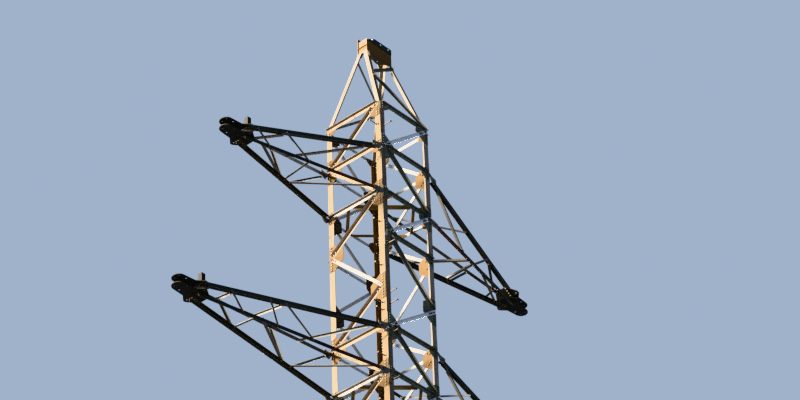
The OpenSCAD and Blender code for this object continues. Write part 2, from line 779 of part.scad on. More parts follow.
// Peak
// Corners of the peak at the bend and at the head, going round with the legs
function peak_foot(i) = [leg_sign[i][0] * body_w / 2, leg_sign[i][1] * body_w / 2, bend_z + seat];
function peak_end(i) = [leg_sign[i][0] * head_l / 2, leg_sign[i][1] * head_w / 2, top_z];
module peak_legs() {
    intersection() {
        for (i = [0 : 3]) {
            p = peak_foot(i);
            q = peak_end(i);
            below = unit(p - q) * peak_b;
            angle_bar(p + below, q, -[0, leg_sign[i][1], 0], -[leg_sign[i][0], 0, 0], peak_b, peak_t);
        }
        translate([-body_w, -body_w, bend_z + seat])
            cube([2 * body_w, 2 * body_w, 2 * peak_h]);
    }
}
module peak_bracing() {
    for (b = peak_bars) {
        p = peak_foot(b[0]) + (peak_end(b[0]) - peak_foot(b[0])) * b[1];
        q = peak_foot(b[2]) + (peak_end(b[2]) - peak_foot(b[2])) * b[3];
        along = unit(peak_foot(b[2]) - peak_foot(b[0]));
        n = unit(cross(along, peak_end(b[0]) - peak_foot(b[0])));
        lift = along * peak_bar_in;
        angle_bar(p + lift + n * seat, q - lift + n * seat, [0, 0, -1], n, peak_bar_b, lace_t);
    }
}

// Earthwire head: two plates along the crossarms, bent over the peak's legs, and two end channels
module head_outline(deep) {
    l = head_l;
    b = -skirt_h * corner_drop;
    difference() {
        polygon(concat(deep ? [
            [-l / 2, -skirt_h * end_drop], [-l / 2 + l * skirt_l[0], -skirt_h],
            [-l / 2 + l * skirt_l[1], -skirt_h], [-l / 2 + l * skirt_l[2], -skirt_h * slant_drop],
            [l / 2, b]
        ] : [
            [-l / 2, b], [-l / 2 + l * lug_l, b], [-l / 2 + l * (lug_l + lug_slant), head_h * lug_up],
            [l / 2 - l * (lug_l + lug_slant), head_h * lug_up], [l / 2 - l * lug_l, b], [l / 2, b]
        ], [[l / 2, head_h], [-l / 2 + l * chamfer_l, head_h], [-l / 2, head_h * (1 - chamfer_h)]]));
        head_holes();
        if (deep)
            translate([-l / 2 + l * (skirt_l[0] + skirt_l[1]) / 2, -skirt_h * hole_drop])
                circle(r = earth_r, $fn = 24);
    }
}
module head_holes() {
    for (x = hole_share)
        translate([x * head_l, head_h - strap_h / 2])
            circle(r = earth_r, $fn = 24);
}
module head_plate(deep) {
    // Drawn for the front, with its inner face on the plane of the legs
    y = head_w / 2 + seat;
    drop = skirt_h * skirt_past;
    translate([0, 0, top_z])
        intersection() {
            rotate([90, 0, 0])
                linear_extrude(head_w * 2)
                    head_outline(deep);
            translate([-head_l / 2 - eps, 0, 0])
                rotate([90, 0, 90])
                    linear_extrude(head_l + 2 * eps)
                        polygon([
                            [-y, head_h + eps], [-y, 0], [-y - head_slope * drop, -drop],
                            [-y - head_slope * drop - head_t, -drop], [-y - head_t, 0],
                            [-y - head_t, head_h + eps]
                        ]);
        }
    // Strap along the top edge, with the earthwire holes
    translate([0, -y - head_t + sink, top_z])
        rotate([90, 0, 0])
            linear_extrude(strap_t + sink)
                difference() {
                    translate([-head_l / 2 + head_l * chamfer_l / 2, head_h - strap_h])
                        square([head_l - head_l * chamfer_l / 2, strap_h]);
                    translate([-head_l / 2 + head_l * chamfer_l, head_h])
                        rotate(90 + atan2(head_h * chamfer_h, head_l * chamfer_l))
                            translate([0, -strap_h])
                                square([strap_h * 2, strap_h * 2]);
                    head_holes();
                }
}
// A folded channel between the two head plates, at the left end
module end_channel() {
    w = head_w + 2 * (seat + sink);
    translate([-head_l / 2 + fold_out, w / 2, top_z])
        rotate([90, 0, 0])
            linear_extrude(w)
                polygon([
                    [0, 0], [-end_t, 0], [-end_t, fold_z - end_t], [-fold_out, fold_z - end_t],
                    [-fold_out, fold_z], [-end_t, fold_z], [-end_t, end_h], [0, end_h]
                ]);
}
module earthwire_head() {
    for (s = [0, 1])
        rotate([0, 0, 180 * s]) {
            head_plate(s == 0);
            end_channel();
        }
}

// Step bolts up the front leg, on its two flanges in turn, and anchor pins above the crossarms
function near_level(z) = [for (l = body_levels) if (abs(z - l) < step_clear) l];
function clear_z(z) =
    let (l = near_level(z)) len(l) == 0 ? z : l[0] + step_clear * (z < l[0] ? -1 : 1);
// Half the height of the gusset on the front leg at a node of the upper body; side 0 is the front face
function upper_gusset_half(i, side) =
    (len(upper_z) - 1 - i + side) % 2 == 1 ? gusset_h / 2 : has_bar(i, side == 0) ? small_gusset_h / 2 : 0;
function on_gusset(z, side) =
    len([for (l = lower_z) if (abs(z - l) < gusset_h / 2 + step_r) l]) > 0
    || len([for (i = [0 : len(upper_z) - 1])
        let (h = upper_gusset_half(i, side)) if (h > 0 && abs(z - upper_z[i]) < h + step_r) i]) > 0;
module step_bolts() {
    n = floor((b1_z - step_from) / step_pitch);
    for (i = [0 : n])
        on_front_leg(i % 2, clear_z(step_from + i * step_pitch))
            cylinder(r = step_r, h = step_len, $fn = 16);
    for (k = [1, 2], side = [0, 1])
        on_front_leg(side, arm_z[k] + arm_height[k] + pin_up + side * 2 * step_r) {
            cylinder(r = step_r, h = pin_len, $fn = 16);
            translate([-pin_head / 2, 0, pin_len - step_r])
                rotate([0, 90, 0])
                    cylinder(r = pin_head_r, h = pin_head, $fn = 16);
        }
}
// Puts a bolt on a flange of the front leg, or on its gusset, pointing outwards
module on_front_leg(side, z) {
    off = half(z - step_r) + seat
        + (on_gusset(z, side) ? gusset_t + seat : 0);
    translate(side == 0 ? [-half(z) + step_in, -off, z] : [-off, -half(z) + step_in, z])
        rotate(side == 0 ? [90, 0, 0] : [0, -90, 0])
            children();
}

color(dark_steel) base_plates();
color(steel) at_corner(0) leg_lower();  // leg_front_lower
color(steel) at_corner(1) leg_lower();  // leg_right_lower
color(steel) at_corner(2) leg_lower();  // leg_rear_lower
color(steel) at_corner(3) leg_lower();  // leg_left_lower
color(steel) portal_diagonals();
color(steel) portal_struts();
color(steel) at_corner(0) lower_lattice();  // lower_lattice_front
color(steel) at_corner(1) lower_lattice();  // lower_lattice_right
color(steel) at_corner(2) lower_lattice();  // lower_lattice_rear
color(steel) at_corner(3) lower_lattice();  // lower_lattice_left
color(steel) at_corner(0) leg_upper();  // leg_front_upper
color(steel) at_corner(1) leg_upper();  // leg_right_upper
color(steel) at_corner(2) leg_upper();  // leg_rear_upper
color(steel) at_corner(3) leg_upper();  // leg_left_upper
color(dark_steel) leg_splices();
color(steel) at_corner(0) upper_lattice(true);  // upper_lattice_front
color(steel) at_corner(1) upper_lattice(false);  // upper_lattice_right
color(steel) at_corner(2) upper_lattice(true);  // upper_lattice_rear
color(steel) at_corner(3) upper_lattice(false);  // upper_lattice_left
color(steel) plan_bracing();
color(dark_steel) crossarm_roots();
color(steel) arm_side(-1) arm_chords(2);  // upper_left_arm_chords
color(steel) arm_side(-1) arm_lacing(2, -1);  // upper_left_arm_lacing
color(dark_steel) arm_side(-1) arm_tip(2);  // upper_left_arm_tip
color(steel) arm_side(1) arm_chords(2);  // upper_right_arm_chords
color(steel) arm_side(1) arm_lacing(2, 1);  // upper_right_arm_lacing
color(dark_steel) arm_side(1) arm_tip(2);  // upper_right_arm_tip
color(steel) arm_side(-1) arm_chords(1);  // middle_left_arm_chords
color(steel) arm_side(-1) arm_lacing(1, -1);  // middle_left_arm_lacing
color(dark_steel) arm_side(-1) arm_tip(1);  // middle_left_arm_tip
color(steel) arm_side(1) arm_chords(1);  // middle_right_arm_chords
color(steel) arm_side(1) arm_lacing(1, 1);  // middle_right_arm_lacing
color(dark_steel) arm_side(1) arm_tip(1);  // middle_right_arm_tip
color(steel) arm_side(-1) arm_chords(0);  // lower_left_arm_chords
color(steel) arm_side(-1) arm_lacing(0, -1);  // lower_left_arm_lacing
color(dark_steel) arm_side(-1) arm_tip(0);  // lower_left_arm_tip
color(steel) arm_side(1) arm_chords(0);  // lower_right_arm_chords
color(steel) arm_side(1) arm_lacing(0, 1);  // lower_right_arm_lacing
color(dark_steel) arm_side(1) arm_tip(0);  // lower_right_arm_tip
color(steel) peak_legs();
color(steel) peak_bracing();
color(dark_steel) earthwire_head();
color(dark_steel) step_bolts();
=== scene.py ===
import math
import random
from functools import partialmethod, reduce

import bpy
from mathutils import Matrix, Vector


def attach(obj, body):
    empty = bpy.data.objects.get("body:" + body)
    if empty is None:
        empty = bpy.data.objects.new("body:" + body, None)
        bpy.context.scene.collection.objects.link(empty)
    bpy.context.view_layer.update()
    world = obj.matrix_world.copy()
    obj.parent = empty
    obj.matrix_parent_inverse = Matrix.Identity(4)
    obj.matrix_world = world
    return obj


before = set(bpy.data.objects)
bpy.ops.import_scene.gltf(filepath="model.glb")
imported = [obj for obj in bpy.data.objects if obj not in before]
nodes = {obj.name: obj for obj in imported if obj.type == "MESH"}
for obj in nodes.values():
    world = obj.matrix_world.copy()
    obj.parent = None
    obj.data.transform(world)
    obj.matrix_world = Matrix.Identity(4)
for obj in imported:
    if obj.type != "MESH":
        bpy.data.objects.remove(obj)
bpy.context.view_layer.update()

# Driving sizes of the tower, in metres, as its solids have them

BODY_W = 1.25
BASE_W = 4.2
WAIST_Z = 26.15
LOWER_PANELS = 8
ARM_H = 0.912
UPPER_ARM_H = 0.985
ARM_PITCH = 3.656
WAIST_GAP = 0.3
BEND_GAP = 0.911
REACH = [4.1, 4.9, 3.87]
PEAK_H = 1.655
HEAD_L = 0.65
HEAD_W = 0.2
HEAD_H = 0.355
HEAD_T = 0.01
SKIRT_H = 0.29
SKIRT_L = (0.17, 0.35)
STRAP_H = 0.12
STRAP_T = 0.008
FOLD_Z = 0.135
HOLE_SHARE = (-0.285, 0.04, 0.345)
LEG_B = 0.115
LEG_T = 0.01
FOOT_B = 0.13
FOOT_T = 0.012
PEAK_B = 0.075
PEAK_T = 0.007
PEAK_BAR_B = 0.05
PEAK_BARS = ((0, 0.53, 1, 0.05), (2, 0.53, 3, 0.05), (0, 0.60, 1, 0.95), (2, 0.60, 3, 0.95))
BRACE_B = 0.06
BRACE_T = 0.005
CHORD_B = 0.07
CHORD_T = 0.006
LACE_B = 0.04
LACE_T = 0.004
GUSSET_T = 0.008
PLATE_T = 0.03
ANCHOR_PITCH = 0.3
FOOT_IN = FOOT_B * 0.45
SPLICE_H = 0.48
SPLICE_T = 0.01
PLAN_B = 0.055
PLAN_SHARE = 0.43
TIP_GAP = 0.135
TIP_T = 0.012
TIP_BEND = 0.45
CHORD_END_Y = 0.105
SEAT = 0.0003
SINK = 0.001
END_GAP = 0.012
GAUGE = LEG_B / 2
GUSSET_H = 0.52
SMALL_GUSSET_H = 0.24
ROOT_IN = 0.096
ROOT_GAP = 0.085
PANEL_SHARE = (0.295, 0.393)
NODES_PER_ARM = 4
ALL_ROUND = (0, 1, 4, 5, 8, 9, 10)
TWO_FACES = (3, 7)
PORTAL_FOOT_Z = 0.42
PORTAL_T = 0.008
PORTAL_IN = 0.04
PORTAL_CLEAR = 1.5
APEX_H = 0.32
STRUT_SHARES = (0.36, 0.66)
STEP_R = 0.009
STEP_LEN = 0.15
STEP_FROM = 3.0
STEP_PITCH = 0.45
STEP_CLEAR = 0.12
PIN_UP = 0.46

# Levels and lines that follow from them

ARM_Z = [WAIST_Z + WAIST_GAP + k * ARM_PITCH for k in range(3)]
ARM_HEIGHT = [ARM_H, ARM_H, UPPER_ARM_H]
BEND_Z = ARM_Z[2] + UPPER_ARM_H + BEND_GAP
TOP_Z = BEND_Z + PEAK_H
ROOT_Y = BODY_W / 2 + GUSSET_T + SEAT
SLOPE = (BASE_W - BODY_W) / 2 / WAIST_Z


def upper_levels():
    """Zigzag nodes of the upper body, upwards; the last one is the bend."""
    levels = []
    for z in ARM_Z[:2]:
        free = ARM_PITCH - ARM_H
        levels += [z, z + ARM_H]
        levels += [z + ARM_H + free * PANEL_SHARE[0], z + ARM_H + free * sum(PANEL_SHARE)]
    return levels + [ARM_Z[2], ARM_Z[2] + UPPER_ARM_H, BEND_Z]


def lower_level(i):
    """Level i of the tapered body, from the waist down."""
    wide = BODY_W * (BASE_W / BODY_W) ** (i / (LOWER_PANELS + 1))
    return WAIST_Z - (wide - BODY_W) / 2 / SLOPE


UPPER_Z = upper_levels()
LOWER_Z = [lower_level(i) for i in range(LOWER_PANELS + 1)]
PORTAL_Z = LOWER_Z[-1]
LAST = len(UPPER_Z) - 1
UP = Vector((0, 0, 1))
UPPER_N = Vector((0, -1, 0))
LOWER_N = Vector((0, -1, SLOPE)).normalized()


def half(z):
    """Half the spread of the leg corners at a height."""
    return BODY_W / 2 if z >= WAIST_Z else BODY_W / 2 + SLOPE * (WAIST_Z - z)


def face_p(s, z, inset=0.0):
    """A point of the front face: side s, height z, distance in from the leg's corner."""
    return Vector((s * (half(z) - inset), -half(z), z))


def quarter(i):
    """Turns the front face to face i, going round with the legs."""
    return Matrix.Rotation(math.pi / 2 * i, 3, "Z")


def main_side(i):
    """The side of a face where the zigzag meets the leg at node i."""
    return 1 if (LAST - i) % 2 == 0 else -1


def has_bar(i, arm_side):
    return i in ALL_ROUND or (arm_side and i in TWO_FACES)


def carries_chords(i):
    return i % NODES_PER_ARM < 2 and i < LAST


# Lines of the crossarms, drawn for the right side

def arm_run(k):
    return REACH[k] - TIP_BEND - BODY_W / 2


def arm_turn(k):
    return math.atan2(ROOT_Y - CHORD_END_Y, arm_run(k))


def heel_root_z(k, c):
    return ARM_Z[k] + (ARM_HEIGHT[k] - CHORD_B if c > 0 else CHORD_B / 2)


def plate_face_z(k, c):
    return ARM_Z[k] + c * (TIP_GAP / 2 + TIP_T)


def heel_slope(k, c):
    return (heel_root_z(k, c) - plate_face_z(k, c)) / arm_run(k)


def heel_lift(k, c):
    return SEAT + (heel_slope(k, c) * math.sin(arm_turn(k)) * CHORD_B if c > 0 else 0)


def heel(k, e, c, f):
    """A point on a chord's heel line: arm k, side e, bottom or top c, share f from tip to leg."""
    tip = Vector((REACH[k] - TIP_BEND, e * CHORD_END_Y, plate_face_z(k, c) + c * heel_lift(k, c)))
    root = Vector((BODY_W / 2, e * ROOT_Y, heel_root_z(k, c)))
    return tip.lerp(root, f)


# Side bars: side e, share of the bottom chord, share of the top chord; flat bars: bottom or top c,
# share of the chord e = -1, share of the other. Beyond ROOT_FROM a side bar ends on the root plate.
ROOT_FROM = 0.94
SIDE_BARS = {
    "long": [
        (-1, 0.295, 0.20), (-1, 0.65, 0.55), (-1, 0.68, 0.96),
        (1, 0.23, 0.17), (1, 0.41, 0.37), (1, 0.60, 0.45),
    ],
    "left": [(-1, 0.49, 0.365), (-1, 0.53, 0.945), (1, 0.185, 0.095), (1, 0.47, 0.30)],
    "right": [(-1, 0.50, 0.31), (-1, 0.63, 0.945), (1, 0.185, 0.095), (1, 0.47, 0.30)],
}
FLAT_BARS = {
    "long": [
        (-1, 0.295, 0.31), (-1, 0.64, 0.335), (-1, 0.68, 0.96),
        (1, 0.155, 0.17), (1, 0.40, 0.44), (1, 0.74, 0.91),
    ],
    "left": [(-1, 0.505, 0.48), (-1, 0.47, 0.13), (-1, 0.545, 0.95), (1, 0.13, 0.30), (1, 0.52, 0.89)],
    "right": [(-1, 0.485, 0.48), (-1, 0.43, 0.10), (-1, 0.525, 0.77), (1, 0.305, 0.105), (1, 0.555, 0.92)],
}
FLAT_IN = CHORD_B * 0.35
MIDDLE_ARM = 1


def arm_kind(k, side):
    if k == MIDDLE_ARM:
        return "long"
    return "right" if side > 0 else "left"


# Fasteners

M16 = {"flats": 0.024, "head": 0.010, "nut": 0.013, "washer": 0.030, "shank": 0.016}
M20 = {"flats": 0.030, "head": 0.0125, "nut": 0.016, "washer": 0.037, "shank": 0.020}
STEP_NUTS = {"flats": 0.030, "head": 0.016, "nut": 0.016, "washer": 0.036, "shank": 0.018}
WASHER_T = 0.003
# How far a thread stands out of its nut
STUB = 0.006
LONG_STUB = 0.012
# Chamfers of nuts, and the radius at a thread's end, as shares
CHAMFER_H = 0.22
CHAMFER_R = 0.86
THREAD_END = 0.8
# Where a bolt sits across a bar's flange
GAUGE_SHARE = 0.55
# Weld beads, and how much their lumps differ
BEAD_R = 0.0075
BEAD_STEP = 0.006
BEAD_LUMPS = (0.82, 1.1)
BEAD_SIDES = 7


def tube_faces(sides, rings):
    """Faces of a closed tube: its first end, its sides from ring to ring, its last end."""
    faces = [list(range(sides))[::-1]]
    for k in range(rings - 1):
        for i in range(sides):
            j = (i + 1) % sides
            faces.append([k * sides + i, k * sides + j, (k + 1) * sides + j, (k + 1) * sides + i])
    faces.append([(rings - 1) * sides + i for i in range(sides)])
    return faces


def prism(sides, rings):
    """A closed turned solid: rings are pairs of radius and height along Z."""
    verts = []
    for r, z in rings:
        for i in range(sides):
            a = 2 * math.pi * i / sides
            verts.append((r * math.cos(a), r * math.sin(a), z))
    return verts, tube_faces(sides, len(rings))


def hexagon(flats, z0, z1, up):
    """A hexagon head or nut from z0 to z1 with its chamfer at the end that looks along up."""
    r = flats / math.sqrt(3)
    chamfer = (z1 - z0) * CHAMFER_H
    if up:
        return prism(6, [(r, z0), (r, z1 - chamfer), (r * CHAMFER_R, z1)])
    return prism(6, [(r * CHAMFER_R, z0), (r, z0 + chamfer), (r, z1)])


def bolt_shape(size, grip, stub):
    """Head and washer above z = 0, nut, washer and thread end below z = -grip."""
    w = size["washer"] / 2
    thread = size["shank"] / 2
    below = -grip - WASHER_T
    end = below - size["nut"]
    return [
        prism(12, [(w, 0), (w, WASHER_T)]),
        hexagon(size["flats"], WASHER_T, WASHER_T + size["head"], True),
        prism(12, [(w, below), (w, -grip)]),
        hexagon(size["flats"], end, below, False),
        prism(8, [(thread * THREAD_END, end - stub), (thread, end)]),
    ]


def stand(name, data):
    """A new object in the scene."""
    thing = bpy.data.objects.new(name, data)
    bpy.context.scene.collection.objects.link(thing)
    return thing


class Mesh:
    """Gathers many small solids, turned about Z, into one object."""

    def __init__(self):
        self.verts = []
        self.faces = []
        self.turn = Matrix.Identity(3)

    def round(self):
        """Turns the mesh to one face after the other."""
        for face in range(4):
            self.turn = quarter(face)
            yield face

    def add(self, verts, faces):
        base = len(self.verts)
        self.verts.extend(tuple(v) for v in verts)
        self.faces.extend([[base + i for i in f] for f in faces])

    def put(self, shape, at, spin=Matrix.Identity(3)):
        """Adds a shape, spun about its origin and moved to a place."""
        verts, faces = shape
        self.add([self.turn @ (at + spin @ Vector(v)) for v in verts], faces)

    def bolt(self, p, n, grip, size=M20, stub=STUB):
        """A bolt whose head lies on the surface at p, looking along n."""
        p, n = self.turn @ p, (self.turn @ n).normalized()
        spin = Matrix.Rotation(random.uniform(0, math.pi / 3), 3, n)
        x = spin @ n.orthogonal().normalized()
        y = n.cross(x)
        for verts, faces in bolt_shape(size, grip, stub):
            self.add([p + x * a + y * b + n * c for a, b, c in verts], faces)

    def box(self, o, x, y, z):
        """A box from the corner o along three edges."""
        o, x, y, z = (self.turn @ v for v in (o, x, y, z))
        verts = [o + x * a + y * b + z * c for c in (0, 1) for b in (0, 1) for a in (0, 1)]
        faces = [[0, 2, 3, 1], [4, 5, 7, 6], [0, 1, 5, 4], [2, 6, 7, 3], [0, 4, 6, 2], [1, 3, 7, 5]]
        if x.cross(y).dot(z) < 0:
            faces = [f[::-1] for f in faces]
        self.add(verts, faces)

    def angle(self, p, q, n, width, t, clear_p, clear_q):
        """An angle bar: a flat flange centred on the line from p to q, and one that stands back from n."""
        d = (q - p).normalized()
        side = n.cross(d).normalized()
        o = p - side * width / 2
        self.box(o, q - p, side * width, n * t)
        self.box(o + d * clear_p, q - p - d * (clear_p + clear_q), side * t, n * (t - width))

    def bead(self, p, q):
        """A weld bead from p to q, lumpy along its length."""
        p, q = self.turn @ p, self.turn @ q
        d = (q - p).normalized()
        x = d.orthogonal().normalized()
        y = d.cross(x)
        steps = max(2, int((q - p).length / BEAD_STEP))
        verts = []
        for k in range(steps + 1):
            c = p.lerp(q, k / steps)
            size = BEAD_R * random.uniform(*BEAD_LUMPS) * (0.5 if k in (0, steps) else 1.0)
            for i in range(BEAD_SIDES):
                a = 2 * math.pi * i / BEAD_SIDES
                verts.append(c + x * size * math.cos(a) + y * size * math.sin(a))
        self.add(verts, tube_faces(BEAD_SIDES, steps + 1))

    def make(self, name, material, slot, smooth=False):
        """Makes one piece of the part."""
        mesh = bpy.data.meshes.new(name)
        mesh.from_pydata(self.verts, [], self.faces)
        mesh.validate()
        mesh.materials.append(material)
        if smooth:
            mesh.shade_smooth()
        piece = stand(name, mesh)
        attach(piece, "root")


# Materials

class Nodes:
    """Short helpers for one material's node tree."""

    def __init__(self, name):
        self.material = bpy.data.materials.new(name)
        self.material.use_nodes = True
        self.tree = self.material.node_tree
        self.shader = self.tree.nodes["Principled BSDF"]

    def new(self, kind, **values):
        node = self.tree.nodes.new(kind)
        for key, value in values.items():
            setattr(node, key, value)
        return node

    def feed(self, socket, value):
        """Sets a socket to a constant, or links another node's output to it."""
        if isinstance(value, bpy.types.NodeSocket):
            self.tree.links.new(value, socket)
        else:
            socket.default_value = (*value, 1) if socket.type == "RGBA" else value

    def coords(self, scale):
        """The part's own coordinates, stretched by scale along each axis."""
        if not hasattr(self, "object_coords"):
            self.object_coords = self.new("ShaderNodeTexCoord").outputs["Object"]
        mapping = self.new("ShaderNodeMapping")
        self.feed(mapping.inputs["Scale"], scale)
        self.feed(mapping.inputs["Vector"], self.object_coords)
        return mapping.outputs["Vector"]

    def noise(self, scale, detail=4.0, rough=0.55, stretch=(1, 1, 1)):
        node = self.new("ShaderNodeTexNoise")
        values = {"Scale": scale, "Detail": detail, "Roughness": rough, "Vector": self.coords(stretch)}
        for socket, value in values.items():
            self.feed(node.inputs[socket], value)
        return node.outputs["Fac"]

    def step(self, value, low, high):
        """A smooth step of value from 0 at low to 1 at high."""
        node = self.new("ShaderNodeMapRange", interpolation_type="SMOOTHSTEP")
        self.feed(node.inputs["From Min"], low)
        self.feed(node.inputs["From Max"], high)
        self.feed(node.inputs["Value"], value)
        return node.outputs["Result"]

    def operate(self, operation, a, b):
        """A math node on two values."""
        node = self.new("ShaderNodeMath", operation=operation)
        self.feed(node.inputs[0], a)
        self.feed(node.inputs[1], b)
        return node.outputs[0]

    times = partialmethod(operate, "MULTIPLY")
    plus = partialmethod(operate, "ADD")
    minus = partialmethod(operate, "SUBTRACT")
    below = partialmethod(operate, "LESS_THAN")
    over = partialmethod(operate, "GREATER_THAN")
    most = partialmethod(operate, "MAXIMUM")

    def absolute(self, a):
        return self.operate("ABSOLUTE", a, 0)

    def most_of(self, values):
        """The highest of several values."""
        return reduce(self.most, values)

    def mix(self, share, a, b):
        node = self.new("ShaderNodeMix", data_type="RGBA")
        self.feed(node.inputs["Factor"], share)
        self.feed(node.inputs[6], a)
        self.feed(node.inputs[7], b)
        return node.outputs[2]

    def split(self, vector):
        node = self.new("ShaderNodeSeparateXYZ")
        self.feed(node.inputs[0], vector)
        return node.outputs["X"], node.outputs["Y"], node.outputs["Z"]

    def place(self):
        """X, Y and Z of the part's own coordinates."""
        self.coords((1, 1, 1))
        return self.split(self.object_coords)

    def normal(self):
        """X, Y and Z of the surface's normal."""
        return self.split(self.new("ShaderNodeNewGeometry").outputs["Normal"])

    def finish(self, colour, plain, rough, metallic):
        """Gives the shader its colour, a plain one beside it, its roughness and its share of metal."""
        sockets = self.shader.inputs
        self.feed(sockets["Base Color"], plain)
        self.feed(sockets["Base Color"], colour)
        self.feed(sockets["Roughness"], rough)
        if not sockets["Metallic"].is_linked:
            self.feed(sockets["Metallic"], metallic)


def shade(colour, k):
    return tuple(min(1.0, c * k) for c in colour)


# Painted shade: how far the colours of the sides away from the key light, and of what looks down, are
# darkened
KEY_AWAY_SHADE = 0.58
UNDER_SHADE = 0.5
BUMP = 0.35
BUMP_DEPTH = 0.002
RUST = (0.21, 0.085, 0.035)
DARK_RUST = (0.085, 0.048, 0.032)
DUST = (0.30, 0.30, 0.26)
PALE = (0.48, 0.385, 0.25)
TAN = (0.43, 0.295, 0.155)
WHITE = (0.74, 0.76, 0.78)
SHADED_UNDER = (0.29, 0.185, 0.10)
COOL_SHADED_UNDER = (0.17, 0.175, 0.16)
DARK_SHADED_UNDER = (0.055, 0.052, 0.047)
STAIN = (0.17, 0.12, 0.075)
SOOT = (0.09, 0.085, 0.08)
GUSSET = (0.235, 0.15, 0.075)
NEWER = (0.62, 0.65, 0.68)
DARK_GUSSET = (0.07, 0.055, 0.045)
STRAP_SHADE_COLOUR = (0.06, 0.065, 0.065)
RUST_RUN = (0.30, 0.15, 0.04)
PRIMER = (0.19, 0.075, 0.045)
# Painted shade in a bar's corner below the flange: brown, and darker on what looks to the key light; and
# where it starts and is full
BROWN = (0.42, 0.32, 0.25)
FLANGE_SHADE_DARK = (0.07, 0.051, 0.035)
FLANGE_SHADE_FROM = -0.45
FLANGE_SHADE_FULL = 0.1
# A bar's mask reaches just past its edges
BAR_EDGE = 1.05
# Bars of the left side that got fresh white zinc, brightened further as a painted highlight, and ones with
# brown painted shade below the flange
WHITE_BARS = (2, 6)
WHITE_LEVELS = (0, 4, 8)
BROWN_BARS = (1, 3, 5, 7, 9)
# Rust from below the head's fold to where it is full, and the primer of the arms' chords
RUN_FROM = 0.09
RUN_FULL = 0.02
PRIMER_FADE = 0.4
PRIMER_END = 1.8
PRIMER_BAND = 0.3


def gusset_mask(m):
    """1 on the plates of a lattice side, 0 on the bars that lie on them."""
    x, y, _ = m.place()
    across = m.most(m.absolute(x), m.absolute(y))
    nx, ny, _ = m.normal()
    outward = m.over(m.plus(m.times(x, nx), m.times(y, ny)), 0.0)
    reach = m.minus(across, m.times(outward, GUSSET_T / 2 + SEAT))
    return m.below(reach, BODY_W / 2 + GUSSET_T / 2 + SEAT)


def over_line(m, z, across, a, b):
    """How high a place lies over the line from a to b, and half a bar's width measured upright."""
    slope = (b.z - a.z) / (b.x - a.x)
    height = m.plus(m.times(across, slope), (a.z + b.z) / 2)
    return m.minus(z, height), BRACE_B / 2 * math.hypot(1, slope)


def on_bars(m, across, outwards, lines):
    """1 on the bars of one side that follow these lines, 0 elsewhere."""
    z = m.place()[2]
    rises = [over_line(m, z, across, a, b) for a, b in lines]
    near = [m.below(m.absolute(off), reach * BAR_EDGE) for off, reach in rises]
    return m.times(m.most_of(near), m.over(outwards, BODY_W / 2 + GUSSET_T))


def under_flange(m, across, outwards, lines):
    """Painted shade: 1 in the corner below the standing flange of these bars, fading down across their
    width.
    """
    z = m.place()[2]
    corners = []
    for a, b in lines:
        off, reach = over_line(m, z, across, a, b)
        corner = m.step(off, reach * FLANGE_SHADE_FROM, reach * FLANGE_SHADE_FULL)
        corners.append(m.times(corner, m.below(off, reach * BAR_EDGE)))
    return m.times(m.most_of(corners), m.over(outwards, BODY_W / 2 + GUSSET_T))


def zigzag_line(i):
    s = main_side(i)
    return face_p(s, UPPER_Z[i], GAUGE), face_p(-s, UPPER_Z[i + 1], GAUGE)


def level_line(i):
    return face_p(-1, UPPER_Z[i]), face_p(1, UPPER_Z[i])


def weathered_steel(name, tones, rust_from=0.60, metallic=0.08, shine=0.25, extra=None):
    """Old galvanized steel: dull zinc in cloudy patches, runs of dirt, and rust where it gave way; pale lit
    colours on what looks to the key light, painted shade on the other sides and on what looks down.
    """
    m = Nodes(name)
    pale, tan, shaded_side, shaded_under, stain, rust = tones
    # Painted shade: the colours of the sides away from the key light and of what looks down are darkened
    shaded_side = shade(shaded_side, KEY_AWAY_SHADE)
    shaded_under = shade(shaded_under, UNDER_SHADE)
    broad = m.step(m.noise(0.42, 3.0, 0.6), 0.36, 0.62)
    clouds = m.step(m.noise(2.3, 5.0, 0.62), 0.34, 0.68)
    spangle = m.noise(38.0, 2.0, 0.5)
    runs = m.step(m.noise(1.0, 4.0, 0.65, (26, 26, 1.3)), 0.48, 0.76)
    pits = m.noise(210.0, 3.0, 0.6)
    spots = m.step(m.noise(7.5, 6.0, 0.7), rust_from, rust_from + 0.1)
    looks_x, _, looks_z = m.normal()
    # Lit and shaded copies of the colour: what looks to -X, towards the key light, is pale and tan; the
    # other sides get a darker colour as painted shade
    key_lit = m.step(looks_x, -0.1, -0.7)
    colour = m.mix(key_lit, m.mix(broad, shade(shaded_side, 0.85), shade(shaded_side, 1.15)), m.mix(broad, tan, pale))
    dull = m.mix(key_lit, shade(shaded_side, 0.72), shade(tan, 0.68))
    colour = m.mix(m.times(clouds, 0.38), colour, dull)
    light = m.mix(key_lit, shade(shaded_side, 1.35), shade(pale, 1.2))
    colour = m.mix(m.times(spangle, 0.4), colour, light)
    # Painted shade: what looks down takes a darker brown colour; dust and lichen settle on what looks up
    down = m.step(m.times(looks_z, -1.0), 0.15, 0.8)
    colour = m.mix(m.times(down, 0.8), colour, shaded_under)
    rough = m.plus(m.times(clouds, -0.12), 0.62)
    rough = m.plus(rough, m.times(spots, 0.22))
    rough = m.plus(rough, m.times(spangle, 0.12))
    if extra:
        colour, rough = extra(m, colour, rough, clouds)
    colour = m.mix(m.times(runs, 0.45), colour, stain)
    colour = m.mix(m.times(spots, 0.8), colour, rust)
    colour = m.mix(m.times(m.step(looks_z, 0.35, 0.95), 0.35), colour, DUST)
    m.finish(colour, tan, rough, metallic)
    m.feed(m.shader.inputs["Specular IOR Level"], shine)
    bump = m.new("ShaderNodeBump")
    height = m.plus(m.times(pits, 0.5), m.times(spots, 0.6))
    for socket, value in (("Strength", BUMP), ("Distance", BUMP_DEPTH), ("Height", height)):
        m.feed(bump.inputs[socket], value)
    m.feed(m.shader.inputs["Normal"], bump.outputs["Normal"])
    return m.material


